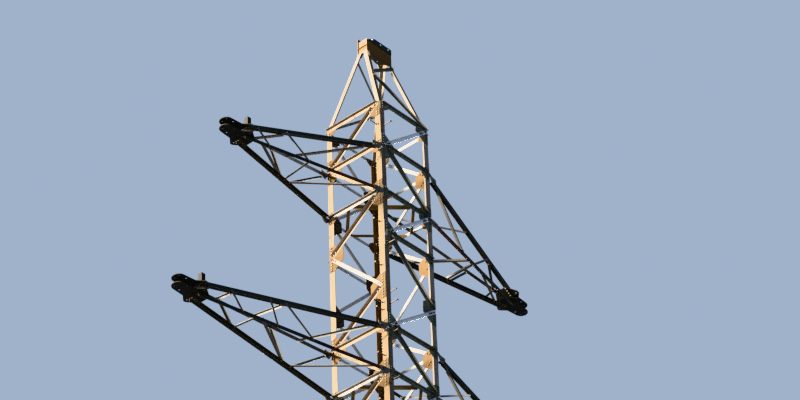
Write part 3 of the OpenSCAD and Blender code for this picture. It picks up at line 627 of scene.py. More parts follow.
def plates_extra(m, colour, rough, clouds):
    """Tan gusset plates."""
    plates = m.mix(clouds, shade(GUSSET, 0.78), shade(GUSSET, 1.12))
    return m.mix(gusset_mask(m), colour, plates), rough


def newer_extra(m, colour, rough, clouds):
    """Bright zinc on the renewed bars of the front side."""
    x, y, _ = m.place()
    bright_bars = on_bars(m, x, m.times(y, -1.0), [zigzag_line(i) for i in range(1, LAST, 2)])
    m.feed(m.shader.inputs["Metallic"], m.times(bright_bars, 0.9))
    return m.mix(bright_bars, colour, NEWER), m.minus(rough, m.times(bright_bars, 0.3))


def left_extra(m, colour, rough, clouds):
    """Tan gusset plates, white zinc brightened as a painted highlight on some bars of the left side, and
    brown painted shade below the flange of others.
    """
    x, y, _ = m.place()
    across, outwards = m.times(y, -1.0), m.times(x, -1.0)
    looks_x, _, looks_z = m.normal()
    lines = [zigzag_line(i) for i in WHITE_BARS] + [level_line(i) for i in WHITE_LEVELS]
    # White zinc on these bars, brightened as a painted highlight, except on what looks down
    bright_bars = m.times(on_bars(m, across, outwards, lines), m.over(looks_z, -0.3))
    colour = m.mix(bright_bars, colour, m.mix(clouds, shade(WHITE, 0.9), WHITE))
    # Painted shade below the standing flange of the brown bars, darker on what looks to -X
    flange_shade = under_flange(m, across, outwards, [zigzag_line(i) for i in BROWN_BARS])
    brown = m.mix(clouds, shade(BROWN, 0.8), BROWN)
    key_side_flange_shade = m.mix(clouds, shade(FLANGE_SHADE_DARK, 0.8), shade(FLANGE_SHADE_DARK, 1.2))
    colour = m.mix(flange_shade, colour, m.mix(m.step(looks_x, -0.3, -0.7), brown, key_side_flange_shade))
    return plates_extra(m, colour, rough, clouds)


def rear_extra(m, colour, rough, clouds):
    """Dark gusset plates between dull grey bars."""
    plates = gusset_mask(m)
    m.feed(m.shader.inputs["Metallic"], m.minus(0.7, m.times(plates, 0.7)))
    return m.mix(plates, colour, DARK_GUSSET), m.minus(rough, 0.2)


def head_extra(m, colour, rough, clouds):
    """A nearly black strap along the top, its colour a painted shade, and rust that runs down from the fold
    of the ends.
    """
    _, y, z = m.place()
    beside = m.over(m.absolute(y), HEAD_W / 2 + HEAD_T + SEAT / 2)
    above = m.over(z, TOP_Z + HEAD_H - STRAP_H - SEAT)
    # Painted shade: the strap is made nearly black
    colour = m.mix(m.times(beside, above), colour, STRAP_SHADE_COLOUR)
    end = m.over(m.absolute(m.normal()[0]), 0.7)
    fold = TOP_Z + FOLD_Z
    run = m.times(m.step(z, fold - RUN_FROM, fold - RUN_FULL), m.below(z, fold + 2 * SINK))
    return m.mix(m.times(m.times(run, end), 0.85), colour, RUST_RUN), rough


def chord_extra(m, colour, rough, clouds):
    """Red-brown primer shows on the front bottom chords near the body."""
    x, y, z = m.place()
    far = m.step(m.absolute(x), BODY_W / 2 + PRIMER_FADE, BODY_W / 2 + PRIMER_END)
    low = m.most_of([m.below(m.absolute(m.minus(z, level)), PRIMER_BAND) for level in ARM_Z])
    share = m.times(m.times(m.minus(1.0, far), m.below(y, 0.0)), m.times(low, 0.75))
    share = m.times(share, m.step(m.noise(9.0, 5.0, 0.7), 0.28, 0.6))
    return m.mix(share, colour, PRIMER), rough


def patchy(name, noise, low, high, tones, plain, rough, metallic, grain=None):
    """Two tones in patches, and a third in fine grain; patches differ in roughness too."""
    m = Nodes(name)
    patches = m.step(m.noise(*noise), low, high)
    colour = m.mix(patches, *tones[:2])
    if grain:
        colour = m.mix(m.times(m.noise(grain, 2.0, 0.5), 0.4), colour, tones[2])
    m.finish(colour, plain, m.plus(m.times(patches, rough[0]), rough[1]), metallic)
    return m.material


# The last three tones of a steel: the painted shade of what looks down, stain and rust
WARM = (SHADED_UNDER, STAIN, RUST)
SOOTY = (SOOT, DARK_RUST)
COOL = (COOL_SHADED_UNDER, *SOOTY)
DARK = (DARK_SHADED_UNDER, *SOOTY)
# The first three: pale and tan on the side towards the key light, and the painted-shade colour of the other
# sides
STEELS = {
    "leg": (PALE, TAN, (0.44, 0.40, 0.36), *WARM),
    "left_leg": ((0.41, 0.355, 0.26), (0.34, 0.27, 0.18), (0.42, 0.40, 0.36), *WARM),
    # The rear leg's colours are dark brown, as painted shadow on its inner faces
    "rear_leg": ((0.20, 0.155, 0.11), (0.14, 0.09, 0.06), (0.27, 0.21, 0.17), SHADED_UNDER, STAIN, DARK_RUST),
    "right_leg": ((0.56, 0.50, 0.42), (0.46, 0.37, 0.27), (0.62, 0.60, 0.58), *WARM),
    "peak": ((0.58, 0.54, 0.46), (0.47, 0.41, 0.32), (0.40, 0.40, 0.37), *WARM),
    "side": ((0.62, 0.55, 0.44), (0.43, 0.34, 0.23), (0.42, 0.40, 0.36), *WARM),
    "left": ((0.62, 0.55, 0.44), (0.43, 0.34, 0.23), (0.42, 0.40, 0.36), *WARM),
    # The right side's lit colour is white: zinc, brightened further as a painted highlight
    "right": (WHITE, (0.58, 0.57, 0.55), (0.46, 0.44, 0.42), *WARM),
    "front": ((0.40, 0.41, 0.38), (0.29, 0.30, 0.27), (0.38, 0.42, 0.38), *COOL),
    "rear": ((0.56, 0.57, 0.57), (0.46, 0.46, 0.45), (0.60, 0.62, 0.62), *COOL),
    "peak_bar": ((0.50, 0.50, 0.47), (0.38, 0.38, 0.35), (0.42, 0.46, 0.43), *COOL),
    # The arms' colours are darkened, as painted shade
    "arm": ((0.17, 0.175, 0.16), (0.11, 0.112, 0.10), (0.15, 0.155, 0.145), *DARK),
    "lacing": ((0.42, 0.41, 0.38), (0.29, 0.27, 0.24), (0.30, 0.30, 0.28), (0.20, 0.17, 0.13), *SOOTY),
    "plate": ((0.12, 0.12, 0.11), (0.085, 0.083, 0.075), (0.09, 0.09, 0.083), *DARK),
    "root": (
        (0.34, 0.33, 0.31), (0.26, 0.24, 0.21), (0.36, 0.38, 0.39), (0.22, 0.17, 0.12), STAIN, DARK_RUST,
    ),
    "head": ((0.50, 0.42, 0.30), (0.42, 0.29, 0.16), (0.28, 0.19, 0.11), (0.30, 0.20, 0.12), STAIN, RUST),
    "bracing": ((0.50, 0.46, 0.38), (0.38, 0.32, 0.24), (0.38, 0.38, 0.35), *WARM),
    "base": ((0.40, 0.38, 0.34), (0.32, 0.28, 0.23), (0.34, 0.33, 0.31), *WARM),
    "bolt": ((0.46, 0.42, 0.36), (0.34, 0.28, 0.21), (0.34, 0.32, 0.29), COOL_SHADED_UNDER, STAIN, RUST),
}
STEEL_MORE = {
    "rear_leg": dict(rust_from=0.56),
    "peak": dict(rust_from=0.62),
    "side": dict(extra=plates_extra, rust_from=0.58),
    "left": dict(extra=left_extra, rust_from=0.58),
    "right": dict(metallic=0.25, extra=plates_extra, rust_from=0.62),
    "front": dict(extra=newer_extra),
    "rear": dict(extra=rear_extra),
    "peak_bar": dict(metallic=0.3),
    "arm": dict(metallic=0.0, shine=0.1, extra=chord_extra),
    "plate": dict(metallic=0.0, shine=0.15),
    "root": dict(rust_from=0.58),
    "head": dict(extra=head_extra, rust_from=0.58),
    "bracing": dict(rust_from=0.58),
    "base": dict(rust_from=0.52),
    "bolt": dict(metallic=0.3, rust_from=0.52),
}
steel = {
    name: weathered_steel(f"{name}_steel", tones, **STEEL_MORE.get(name, {}))
    for name, tones in STEELS.items()
}
# Edges of rolled bars and cut plates, rubbed bright and rusting in places
EDGES = patchy(
    "worn_edges", (5.0, 4.0, 0.6), 0.45, 0.6, ((0.46, 0.42, 0.36), (0.30, 0.17, 0.09), (0.20, 0.16, 0.12)),
    (0.40, 0.34, 0.27), (0.3, 0.42), 0.15, 90.0,
)
# Young zinc of the fittings that were renewed on the head
ZINC = patchy(
    "bright_zinc", (60.0, 4.0, 0.6), 0.4, 0.7, ((0.86, 0.88, 0.90), (0.60, 0.61, 0.60)),
    (0.80, 0.82, 0.84), (0.2, 0.2), 1.0,
)
# Zinc-coated weld beads with rust in their hollows
WELD = patchy(
    "weld_metal", (22.0, 5.0, 0.65), 0.45, 0.65,
    ((0.34, 0.33, 0.31), (0.19, 0.085, 0.04), (0.12, 0.10, 0.09)),
    (0.28, 0.22, 0.18), (0.3, 0.5), 0.2, 160.0,
)
BOLTS = (steel["bolt"], "bolt_steel")
# Rolled and cut edges: how round they are, and how sharp an edge has to be
EDGE_R = 0.0012
EDGE_ANGLE = math.radians(40)
MERGE = 0.00005
FINISHES = (
    ("leg_splices", "root"), ("crossarm_roots", "root"), ("leg_rear", "rear_leg"),
    ("leg_right", "right_leg"), ("leg_left", "left_leg"), ("leg_", "leg"), ("peak_legs", "peak"),
    ("lattice_right", "right"), ("upper_lattice_left", "left"), ("upper_lattice_front", "front"),
    ("upper_lattice_rear", "rear"), ("earthwire_head", "head"), ("base_plates", "base"),
    ("step_bolts", "bolt"), ("_arm_tip", "plate"), ("_arm_chords", "arm"), ("_arm_lacing", "lacing"),
    ("peak_bracing", "peak_bar"),
)


def node_finish(name):
    """Which steel a node of the part has; the first word that its name holds decides."""
    for word, finish in FINISHES:
        if word in name:
            return finish
    return "side"


for name, node in nodes.items():
    node.data.materials.clear()
    node.data.materials.append(steel[node_finish(name)])
    node.data.materials.append(EDGES)
    weld = node.modifiers.new("weld", "WELD")
    weld.merge_threshold = MERGE
    bevel = node.modifiers.new("round_edges", "BEVEL")
    bevel.width = EDGE_R
    bevel.limit_method = "ANGLE"
    bevel.angle_limit = EDGE_ANGLE
    bevel.material = 1

# Bolts of the body

random.seed(7)

# Heights of the bolts in a leg, from a node: big and small gussets, tapered body, waist
BIG_ROWS = (-0.232, -0.18, -0.125, -0.07, 0.0, 0.07, 0.125, 0.18, 0.232)
SMALL_ROWS = (-0.1, -0.06, 0.06, 0.1)
LOWER_ROWS = (-0.225, -0.17, -0.115, -0.06, 0.06, 0.115, 0.17, 0.225)
WAIST_ROWS = (0.045, 0.095, 0.145)
# Rows nearer than this to a node are left out where a bar or a chord is bolted
MIDDLE_CLEAR = 0.05
BRACE_OFF = GUSSET_T - SINK + BRACE_T
BRACE_STEPS = (0.030, 0.085)


def leg_column(mesh, s, z, n, heights, leg_t):
    """Bolts that hold a gusset to a leg's flange."""
    for h in heights:
        p = face_p(s, z + h, GAUGE) + n * (GUSSET_T + SEAT)
        splice = SPLICE_T + SEAT if abs(z + h - WAIST_Z) < SPLICE_H / 2 else 0
        mesh.bolt(p, n, GUSSET_T + leg_t + 2 * SEAT + splice)


def ends(p, q, step):
    """The places a step in from both ends of a line."""
    d = (q - p).normalized() * step
    return p + d, q - d


def bar_bolts(mesh, p, q, n, off=BRACE_OFF, grip=BRACE_OFF):
    """Bolts at both ends of a bar that runs from p to q."""
    for step in BRACE_STEPS:
        for end in ends(p, q, step):
            mesh.bolt(end + n * off, n, grip)


def back_from_bar(d, free):
    """How far a bar ends before its node, or before the level bar at a node that isn't free."""
    gap = END_GAP / 2 if free else BRACE_B / 2 + END_GAP
    return (gap + BRACE_B / 2 * math.hypot(d.x, d.y)) / abs(d.z)


def back_from_leg(d):
    """How far a bar ends before its node, to keep clear of a lower leg's flange."""
    return (FOOT_B - GAUGE + END_GAP + BRACE_B / 2 * abs(d.z)) / math.hypot(d.x, d.y)


def upper_face(mesh, face):
    """Bolts of one face of the upper body."""
    arm_side = face % 2 == 0
    n = UPPER_N
    for i, z in enumerate(UPPER_Z):
        bar = has_bar(i, arm_side)
        middle = bar or carries_chords(i)
        rows = [h for h in BIG_ROWS if abs(h) > MIDDLE_CLEAR or not middle]
        big = [h for h in rows if h < 0 or i < LAST]
        small = [h for h in SMALL_ROWS if h < 0 or i < LAST]
        leg_column(mesh, main_side(i), z, n, big, LEG_T)
        if bar:
            leg_column(mesh, -main_side(i), z, n, small, LEG_T)
            inset = ROOT_IN + END_GAP if arm_side and carries_chords(i) else GAUGE / 2
            bar_bolts(mesh, face_p(-1, z, inset), face_p(1, z, inset), n)
        if i < LAST:
            p, q = zigzag_line(i)
            d = (q - p).normalized()
            p = p + d * back_from_bar(d, not bar)
            q = q - d * back_from_bar(d, not has_bar(i + 1, arm_side))
            bar_bolts(mesh, p, q, n)


def lower_face(mesh):
    """Bolts of one face of the tapered body."""
    n = LOWER_N
    for i, z in enumerate(LOWER_Z):
        heights = [h for h in LOWER_ROWS if h < 0 or i > 0]
        for s in (-1, 1):
            leg_column(mesh, s, z, n, heights, FOOT_T)
        bar_bolts(mesh, face_p(-1, z, GAUGE / 2), face_p(1, z, GAUGE / 2), n)
        if i == LOWER_PANELS:
            continue
        zb = LOWER_Z[i + 1]
        a, b = face_p(-1, zb, GAUGE), face_p(1, z, GAUGE)
        cut = back_from_bar((b - a).normalized(), False)
        bar_bolts(mesh, *ends(a, b, cut), n)
        c, e = face_p(1, zb, GAUGE), face_p(-1, z, GAUGE)
        cut = back_from_leg((e - c).normalized())
        bar_bolts(mesh, *ends(c, e, cut), n, GUSSET_T + SEAT, GUSSET_T + BRACE_T)
        # One bolt holds the two bars where they cross
        cross = a.lerp(b, half(zb) / (half(zb) + half(z)))
        mesh.bolt(cross + n * BRACE_OFF, n, BRACE_OFF + BRACE_T)


def waist_splice(mesh):
    """Bolts through a leg and the angle inside it just above the waist."""
    for h in WAIST_ROWS:
        mesh.bolt(face_p(-main_side(0), WAIST_Z + h, GAUGE), UPPER_N, LEG_T + SPLICE_T + SEAT)


body_bolts = Mesh()
for face in body_bolts.round():
    upper_face(body_bolts, face)
for _ in body_bolts.round():
    waist_splice(body_bolts)
body_bolts.make("upper_body_bolts", *BOLTS)
foot_bolts = Mesh()
for _ in foot_bolts.round():
    lower_face(foot_bolts)
foot_bolts.make("lower_body_bolts", *BOLTS)

# Feet and the open panel over them

# Where the diagonals' lines meet on the apex plate
APEX_MEET = 0.4
PORTAL_STEPS = (0.03, 0.09, 0.15)
STRUT_STEP = 0.028
# Outline of a foot gusset, from the foot of its diagonal; corners are towards the leg and upwards
FOOT_UP = 0.30
FOOT_DOWN = 0.12
FOOT_REACH = 0.33
FOOT_EDGE = 0.006
FOOT_WIDE = FOOT_B * 0.8
END_CORNERS = ((0.05, 0.33), (0.075, 0.22))
LOW_CORNER = (0.055, 0.04)
# Its bolts, over its lower edge and along the diagonal
FOOT_ROWS = (0.04, 0.12, 0.20, 0.28, 0.37)
FOOT_STEPS = (0.05, 0.12, 0.19, 0.26)
# Anchor bolts, and how unevenly their square washers lie
ANCHOR_WASHER = 0.076
ANCHOR_WASHER_T = 0.01
ANCHOR_FLATS = 0.046
ANCHOR_NUTS = ((0.010, 0.034), (0.0345, 0.051))
ANCHOR_STUD = [(0.0150, 0.001 - PLATE_T), (0.0150, 0.078), (0.0128, 0.082)]
ANCHOR_TURN = 0.12
WELD_OUT = 0.002


def portal_bolts(mesh, plates):
    """Foot gussets, and bolts of the portal's diagonals and struts on one face."""
    n = LOWER_N
    for s in (-1, 1):
        p, q = face_p(s, PORTAL_FOOT_Z, GAUGE), face_p(s * PORTAL_IN, PORTAL_Z - APEX_H * APEX_MEET)
        d = (q - p).normalized()
        for step in PORTAL_STEPS:
            mesh.bolt(q - d * step + n * GUSSET_T, n, GUSSET_T + PORTAL_T + SEAT)
        foot_gusset(mesh, plates, s, p, d)
        for k in STRUT_SHARES:
            z = PORTAL_Z * k
            a = face_p(s, z, FOOT_B / 2)
            b = p + (q - p) * ((z - p.z) / (q.z - p.z))
            along = (b - a).normalized()
            for end, back in ((a + along * STRUT_STEP, FOOT_T), (b - along * STRUT_STEP, PORTAL_T)):
                mesh.bolt(end + n * (SEAT + BRACE_T), n, BRACE_T + SEAT + back, M16)


def foot_gusset(mesh, plates, s, p, d):
    """A plate on the outside of the leg that carries the foot of a portal diagonal."""
    n = LOWER_N
    start = p + d * FOOT_B * PORTAL_CLEAR
    low, high = start.z - FOOT_DOWN, start.z + FOOT_UP
    inner = (start + d * FOOT_REACH).x
    slant = [Vector((inner - s * back, 0, start.z + up)) for back, up in END_CORNERS]
    corners = [
        face_p(s, low, FOOT_EDGE), face_p(s, high, FOOT_EDGE), face_p(s, high, FOOT_WIDE), *slant,
        Vector((start.x - s * LOW_CORNER[0], 0, low + LOW_CORNER[1])), face_p(s, low, FOOT_WIDE),
    ]
    # Every corner is put on the plane of the face
    corners = [Vector((c.x, -half(c.z), c.z)) for c in corners]
    if s < 0:
        corners = corners[::-1]
    inside = [mesh.turn @ (c + n * SEAT) for c in corners]
    outside = [mesh.turn @ (c + n * (SEAT + GUSSET_T)) for c in corners]
    plates.add(inside + outside, tube_faces(len(corners), 2))
    for h in FOOT_ROWS:
        mesh.bolt(face_p(s, low + h, GAUGE) + n * (GUSSET_T + SEAT), n, GUSSET_T + FOOT_T + SEAT)
    for step in FOOT_STEPS:
        mesh.bolt(start + d * step + n * (GUSSET_T + SEAT), n, GUSSET_T + PORTAL_T + 2 * SEAT)


def anchors(mesh):
    """Anchor bolts of one foot, each with a square washer and two nuts."""
    c = BASE_W / 2 - FOOT_IN
    for sx in (-1, 1):
        for sy in (-1, 1):
            at = Vector((-c + sx * ANCHOR_PITCH / 2, -c + sy * ANCHOR_PITCH / 2, PLATE_T))
            spin = Matrix.Rotation(random.uniform(-ANCHOR_TURN, ANCHOR_TURN), 3, "Z")
            x, y = spin @ Vector((ANCHOR_WASHER, 0, 0)), spin @ Vector((0, ANCHOR_WASHER, 0))
            mesh.box(at - (x + y) / 2, x, y, UP * ANCHOR_WASHER_T)
            for z0, z1 in ANCHOR_NUTS:
                nut = Matrix.Rotation(random.uniform(0, math.pi / 3), 3, "Z")
                mesh.put(hexagon(ANCHOR_FLATS, z0, z1, True), at, nut)
            mesh.put(prism(16, ANCHOR_STUD), at)


def foot_welds(mesh):
    """Beads that join a leg to its base plate, on both sides of both flanges."""
    z = PLATE_T + WELD_OUT
    h = half(z)
    out = h + WELD_OUT
    inner = h - FOOT_T / math.cos(SLOPE)
    end = h - FOOT_B
    lines = [
        ((-h, -out), (-end, -out)), ((-out, -h), (-out, -end)),
        ((-inner, -inner), (-end, -inner)), ((-inner, -inner), (-inner, -end)),
        ((-end, -h), (-end, -inner)), ((-h, -end), (-inner, -end)),
    ]
    for p, q in lines:
        mesh.bead(Vector((*p, z)), Vector((*q, z)))


feet = Mesh()
gussets = Mesh()
for _ in feet.round():
    portal_bolts(feet, gussets)
feet.make("portal_bolts", *BOLTS)
gussets.make("portal_foot_gussets", steel["bracing"], "lattice_steel")
anchor_set = Mesh()
welds = Mesh()
for _ in zip(anchor_set.round(), welds.round()):
    anchors(anchor_set)
    foot_welds(welds)
anchor_set.make("anchor_bolts", *BOLTS)
welds.make("foot_welds", WELD, "base_steel", smooth=True)

# Climbing bolts


def clear_z(z):
    """A step bolt's height, moved away from a level of the bracing."""
    for level in LOWER_Z + UPPER_Z:
        if abs(z - level) < STEP_CLEAR:
            return level + (-STEP_CLEAR if z < level else STEP_CLEAR)
    return z


def upper_gusset_half(i, side):
    """Half the height of the gusset on the front leg at a node; side 0 is the front face."""
    if (LAST - i + side) % 2 == 1:
        return GUSSET_H / 2
    return SMALL_GUSSET_H / 2 if has_bar(i, side == 0) else 0


def on_gusset(z, side):
    """Whether a climbing bolt at this height goes through a gusset."""
    halves = [(level, GUSSET_H / 2) for level in LOWER_Z]
    halves += [(level, upper_gusset_half(i, side)) for i, level in enumerate(UPPER_Z)]
    return any(h > 0 and abs(z - level) < h + STEP_R for level, h in halves)


def steps():
    """Side and height of every climbing bolt, then of the anchor pins above the arms."""
    count = math.floor((ARM_Z[2] - STEP_FROM) / STEP_PITCH)
    bolts = [(i % 2, clear_z(STEP_FROM + i * STEP_PITCH), True) for i in range(count + 1)]
    for k in (1, 2):
        for side in (0, 1):
            bolts.append((side, ARM_Z[k] + ARM_HEIGHT[k] + PIN_UP + side * 2 * STEP_R, False))
    return bolts


STEPS = steps()
# Distance from the leg's heel, and the longer grip in the lower legs
STEP_IN = LEG_B * 0.75
LOWER_MORE = 0.004
# Round end of a climbing bolt
BUTTON = [(0.0105, 0), (0.0155, 0.002), (0.0155, 0.006), (0.0105, 0.008)]
BUTTON_IN = 0.004


def step_fittings(mesh):
    """Nuts and washers of every climbing bolt, and its round end."""
    for side, z, climbing in STEPS:
        out = Vector((0, -1, 0)) if side == 0 else Vector((-1, 0, 0))
        across = -half(z) + STEP_IN
        plate = on_gusset(z, side)
        off = half(z - STEP_R) + SEAT + (GUSSET_T + SEAT if plate else 0)
        root = Vector((across, -off, z)) if side == 0 else Vector((-off, across, z))
        grip = LEG_T + 2 * SEAT + (GUSSET_T if plate else 0) + (LOWER_MORE if z < WAIST_Z else 0)
        mesh.bolt(root, out, grip, STEP_NUTS)
        if climbing:
            spin = out.to_track_quat("Z", "Y").to_matrix()
            mesh.put(prism(14, BUTTON), root + out * (STEP_LEN - BUTTON_IN), spin)


step_set = Mesh()
step_fittings(step_set)
step_set.make("step_bolt_fittings", *BOLTS)

# Finer bracing of the widest panels, and level bracing of the tapered body

FINE_B = 0.04
FINE_T = 0.004
FINE_LIFT = 0.0015
FINE_PANELS = range(4, LOWER_PANELS)
FINE_SHIFT = 0.02
FINE_TRIES = 20
# Half the gap of two bars at a leg, their length past a bolt, and how short their flanges stop
FINE_APART = 0.045
FINE_PAST = 0.02
FINE_SHORT = (0.06, 0.09)
LEVEL_B = 0.05
LEVEL_T = 0.005
BRACED_LEVELS = (0, 4, LOWER_PANELS)
# Level bars: their ends from the corner and the side, and their bolts
LEVEL_IN = 0.055
LEVEL_END = 0.02
LEVEL_STEP = 0.03
LEVEL_SHORT = 0.10
PLAN_STEP = 0.10


def free_of_steps(z):
    """The nearest height where the ends of the finer bars keep clear of the climbing bolts."""
    for k in range(FINE_TRIES):
        for shift in (k * FINE_SHIFT, -k * FINE_SHIFT):
            if all(abs(z + shift - step[1]) > STEP_CLEAR for step in STEPS):
                return z + shift
    return z


def fine_bars(bars, bolts):
    """Two light angles fan out from the middle of each leg panel to the crossed bars."""
    n = LOWER_N
    for i in FINE_PANELS:
        zt, zb = LOWER_Z[i], LOWER_Z[i + 1]
        middle = free_of_steps((zt + zb) / 2)
        share = half(zb) / (half(zb) + half(zt))
        cross = face_p(-1, zb, GAUGE).lerp(face_p(1, zt, GAUGE), share)
        for s in (-1, 1):
            for up, z in ((-1, zb), (1, zt)):
                at_leg = face_p(s, middle + up * FINE_APART, GAUGE)
                end = face_p(s, z, GAUGE).lerp(cross, 0.5)
                d = (end - at_leg).normalized()
                a = at_leg - d * FINE_PAST + n * FINE_LIFT
                b = end + d * FINE_PAST + n * FINE_LIFT
                from_leg = (FOOT_B - GAUGE) / abs(d.x) + FINE_SHORT[0]
                bars.angle(a, b, n, FINE_B, FINE_T, from_leg, FINE_SHORT[1])
                bolts.bolt(at_leg + n * (FINE_LIFT + FINE_T), n, FINE_T + FINE_LIFT + FOOT_T, M16)
                # The bar that starts at the lower left corner of a panel lies outside the other
                outer = s == up
                lift = BRACE_OFF if outer else FINE_LIFT + FINE_T
                grip = BRACE_OFF - FINE_LIFT if outer else FINE_T + BRACE_T
                bolts.bolt(end + n * lift, n, grip, M16)


def level_bars(bars, bolts):
    """Bars that cut across one corner of the tapered body, from side to side."""
    for i in BRACED_LEVELS:
        z = LOWER_Z[i]
        reach = half(z) + GUSSET_T - SINK - LEVEL_END
        a, b = Vector((-LEVEL_IN, -reach, z)), Vector((-reach, -LEVEL_IN, z))
        bars.angle(a, b, UP, LEVEL_B, LEVEL_T, LEVEL_SHORT, LEVEL_SHORT)
        for end in ends(a, b, LEVEL_STEP):
            bolts.bolt(end + UP * LEVEL_T, UP, LEVEL_T, M16)


def plan_bolts(mesh):
    """Bolts at the ends of the level bars beside the bottom chords."""
    mesh.turn = quarter(0)
    r = BODY_W / 2 + GUSSET_T - SINK - SEAT
    off = BODY_W * (0.5 - PLAN_SHARE)
    far, near = off + PLAN_B / 2, off - PLAN_B / 2
    for z in ARM_Z:
        for s in (-1, 1):
            for a, b in (((-r, far), (-far, r)), ((-r, near), (near, -r))):
                p, q = Vector((s * a[0], s * a[1], z)), Vector((s * b[0], s * b[1], z))
                outwards = Vector((p.x + q.x, p.y + q.y, 0)).normalized()
                for end in ends(p, q, PLAN_STEP):
                    mesh.bolt(end + outwards * PLAN_B * GAUGE_SHARE, UP, BRACE_T, M16)


fine = Mesh()
fine_set = Mesh()
for _ in zip(fine.round(), fine_set.round()):
    fine_bars(fine, fine_set)
    level_bars(fine, fine_set)
plan_bolts(fine_set)
fine.make("secondary_bracing", steel["bracing"], "lattice_steel")
fine_set.make("secondary_bolts", *BOLTS)

# Crossarms

LACE_STEP = 0.02
# Bolts at an arm's root, along the chord and across the leg, and at its tip
ROOT_STEPS = (0.03, 0.085)
ROOT_INSETS = (0.025, 0.07)
TIP_STEPS = (0.03, 0.09, 0.15, 0.21)


def flange_way(p, q, u, v):
    """The way a bar's flange that is square to v points from its heel, on the side of u."""
    d = (q - p).normalized()
    square = (v - d * v.dot(d)).normalized().cross(d)
    return square if square.dot(u) > 0 else -square


def lacing_bolts(mesh, p, q, n):
    """One bolt at each end of a lacing bar, through its flat flange."""
    lift = flange_way(p, q, Vector((1, 0, 0)), n) * LACE_B * GAUGE_SHARE + n * LACE_T
    for end in ends(p, q, LACE_STEP):
        mesh.bolt(end + lift, n, LACE_T + CHORD_T, M16)


def arm_out(k, e):
    """The direction in which an arm's side e looks."""
    angle = arm_turn(k)
    return Vector((math.sin(angle), e * math.cos(angle), 0))


def arm_up(k, c):
    """The upward direction square to an arm's bottom or top."""
    return Vector((heel_slope(k, c), 0, 1)).normalized()


def chord_bolts(mesh, k, e, c):
    """Bolts of one chord, through the root plate, the leg and the tip plate."""
    out = arm_out(k, e)
    tip, root = heel(k, e, c, 0), heel(k, e, c, 1)
    d = (root - tip).normalized()
    for step in ROOT_STEPS:
        p = root - d * (ROOT_GAP + step) + UP * (c * CHORD_B / 2)
        mesh.bolt(p + out * (GUSSET_T + SEAT), out, GUSSET_T + CHORD_T + SEAT)
    z = ARM_Z[k] + (ARM_HEIGHT[k] if c > 0 else 0)
    for inset in ROOT_INSETS:
        p = Vector((BODY_W / 2 - inset, e * (BODY_W / 2 + 2 * GUSSET_T + 2 * SEAT), z))
        mesh.bolt(p, Vector((0, e, 0)), 2 * GUSSET_T + LEG_T + 2 * SEAT)
    n = arm_up(k, c) * c
    for step in TIP_STEPS:
        p = tip + d * step + Vector((0, -e * CHORD_B * GAUGE_SHARE, 0)) + n * CHORD_T
        mesh.bolt(p, n, CHORD_T + TIP_T + SEAT)


def arm_bolts(k, side):
    """All bolts of one arm: of its chords, its sides, and its bottom and top."""
    mesh = Mesh()
    mesh.turn = quarter(0 if side > 0 else 2)
    for e in (-1, 1):
        for c in (-1, 1):
            chord_bolts(mesh, k, e, c)
    for e, f_bottom, f_top in SIDE_BARS[arm_kind(k, side)]:
        out = arm_out(k, e)
        at_root = f_top > ROOT_FROM
        p = heel(k, e, -1, f_bottom) + out * SEAT - UP * (CHORD_B / 2)
        q = heel(k, e, 1, f_top) + out * (GUSSET_T + 3 * SEAT if at_root else SEAT)
        q = q + UP * (CHORD_B / 2 * (-1 if at_root else 1))
        lacing_bolts(mesh, p, q, out)
    for c, f_strong, f_other in FLAT_BARS[arm_kind(k, side)]:
        n = arm_up(k, c) * -c
        p = heel(k, -1, c, f_strong) + Vector((0, FLAT_IN, 0)) + n * heel_lift(k, c)
        q = heel(k, 1, c, f_other) - Vector((0, FLAT_IN, 0)) + n * heel_lift(k, c)
        d = (q - p).normalized()
        back = d * (LACE_B / d.y)
        lacing_bolts(mesh, p + back * max(0, d.x), q - back * max(0, -d.x), n)
    level, way = ("lower", "middle", "upper")[k], "right" if side > 0 else "left"
    mesh.make(f"{level}_{way}_arm_bolts", *BOLTS)


for k in range(3):
    for side in (-1, 1):
        arm_bolts(k, side)

# Peak and head

LEG_SIGN = ((-1, -1), (1, -1), (1, 1), (-1, 1))
PEAK_STEP = 0.028
# Old bolts of the head, down the leg and across it
HEAD_DROPS = (0.045, 0.10)
HEAD_GAUGE = 0.62
# The skirt's bright bolt, down the skirt
SKIRT_DROP = 0.8


def peak_leg(i):
    """Foot and top of the heel line of the peak's leg i."""
    x, y = LEG_SIGN[i]
    foot = Vector((x * BODY_W / 2, y * BODY_W / 2, BEND_Z + SEAT))
    return foot, Vector((x * HEAD_L / 2, y * HEAD_W / 2, TOP_Z))


def peak_bolts(mesh):
    """A bolt at each end of the peak's bars."""
    for first, f0, second, f1 in PEAK_BARS:
        foot, top = peak_leg(first)
        other_foot, other_top = peak_leg(second)
        p, q = foot.lerp(top, f0), other_foot.lerp(other_top, f1)
        along = (other_foot - foot).normalized()
        n = along.cross(top - foot).normalized()
        lift = flange_way(p, q, -UP, n) * PEAK_BAR_B * GAUGE_SHARE + n * (SEAT + LACE_T)
        for end in (p + along * PEAK_STEP, q - along * PEAK_STEP):
            mesh.bolt(end + lift, n, LACE_T + PEAK_T + SEAT, M16)


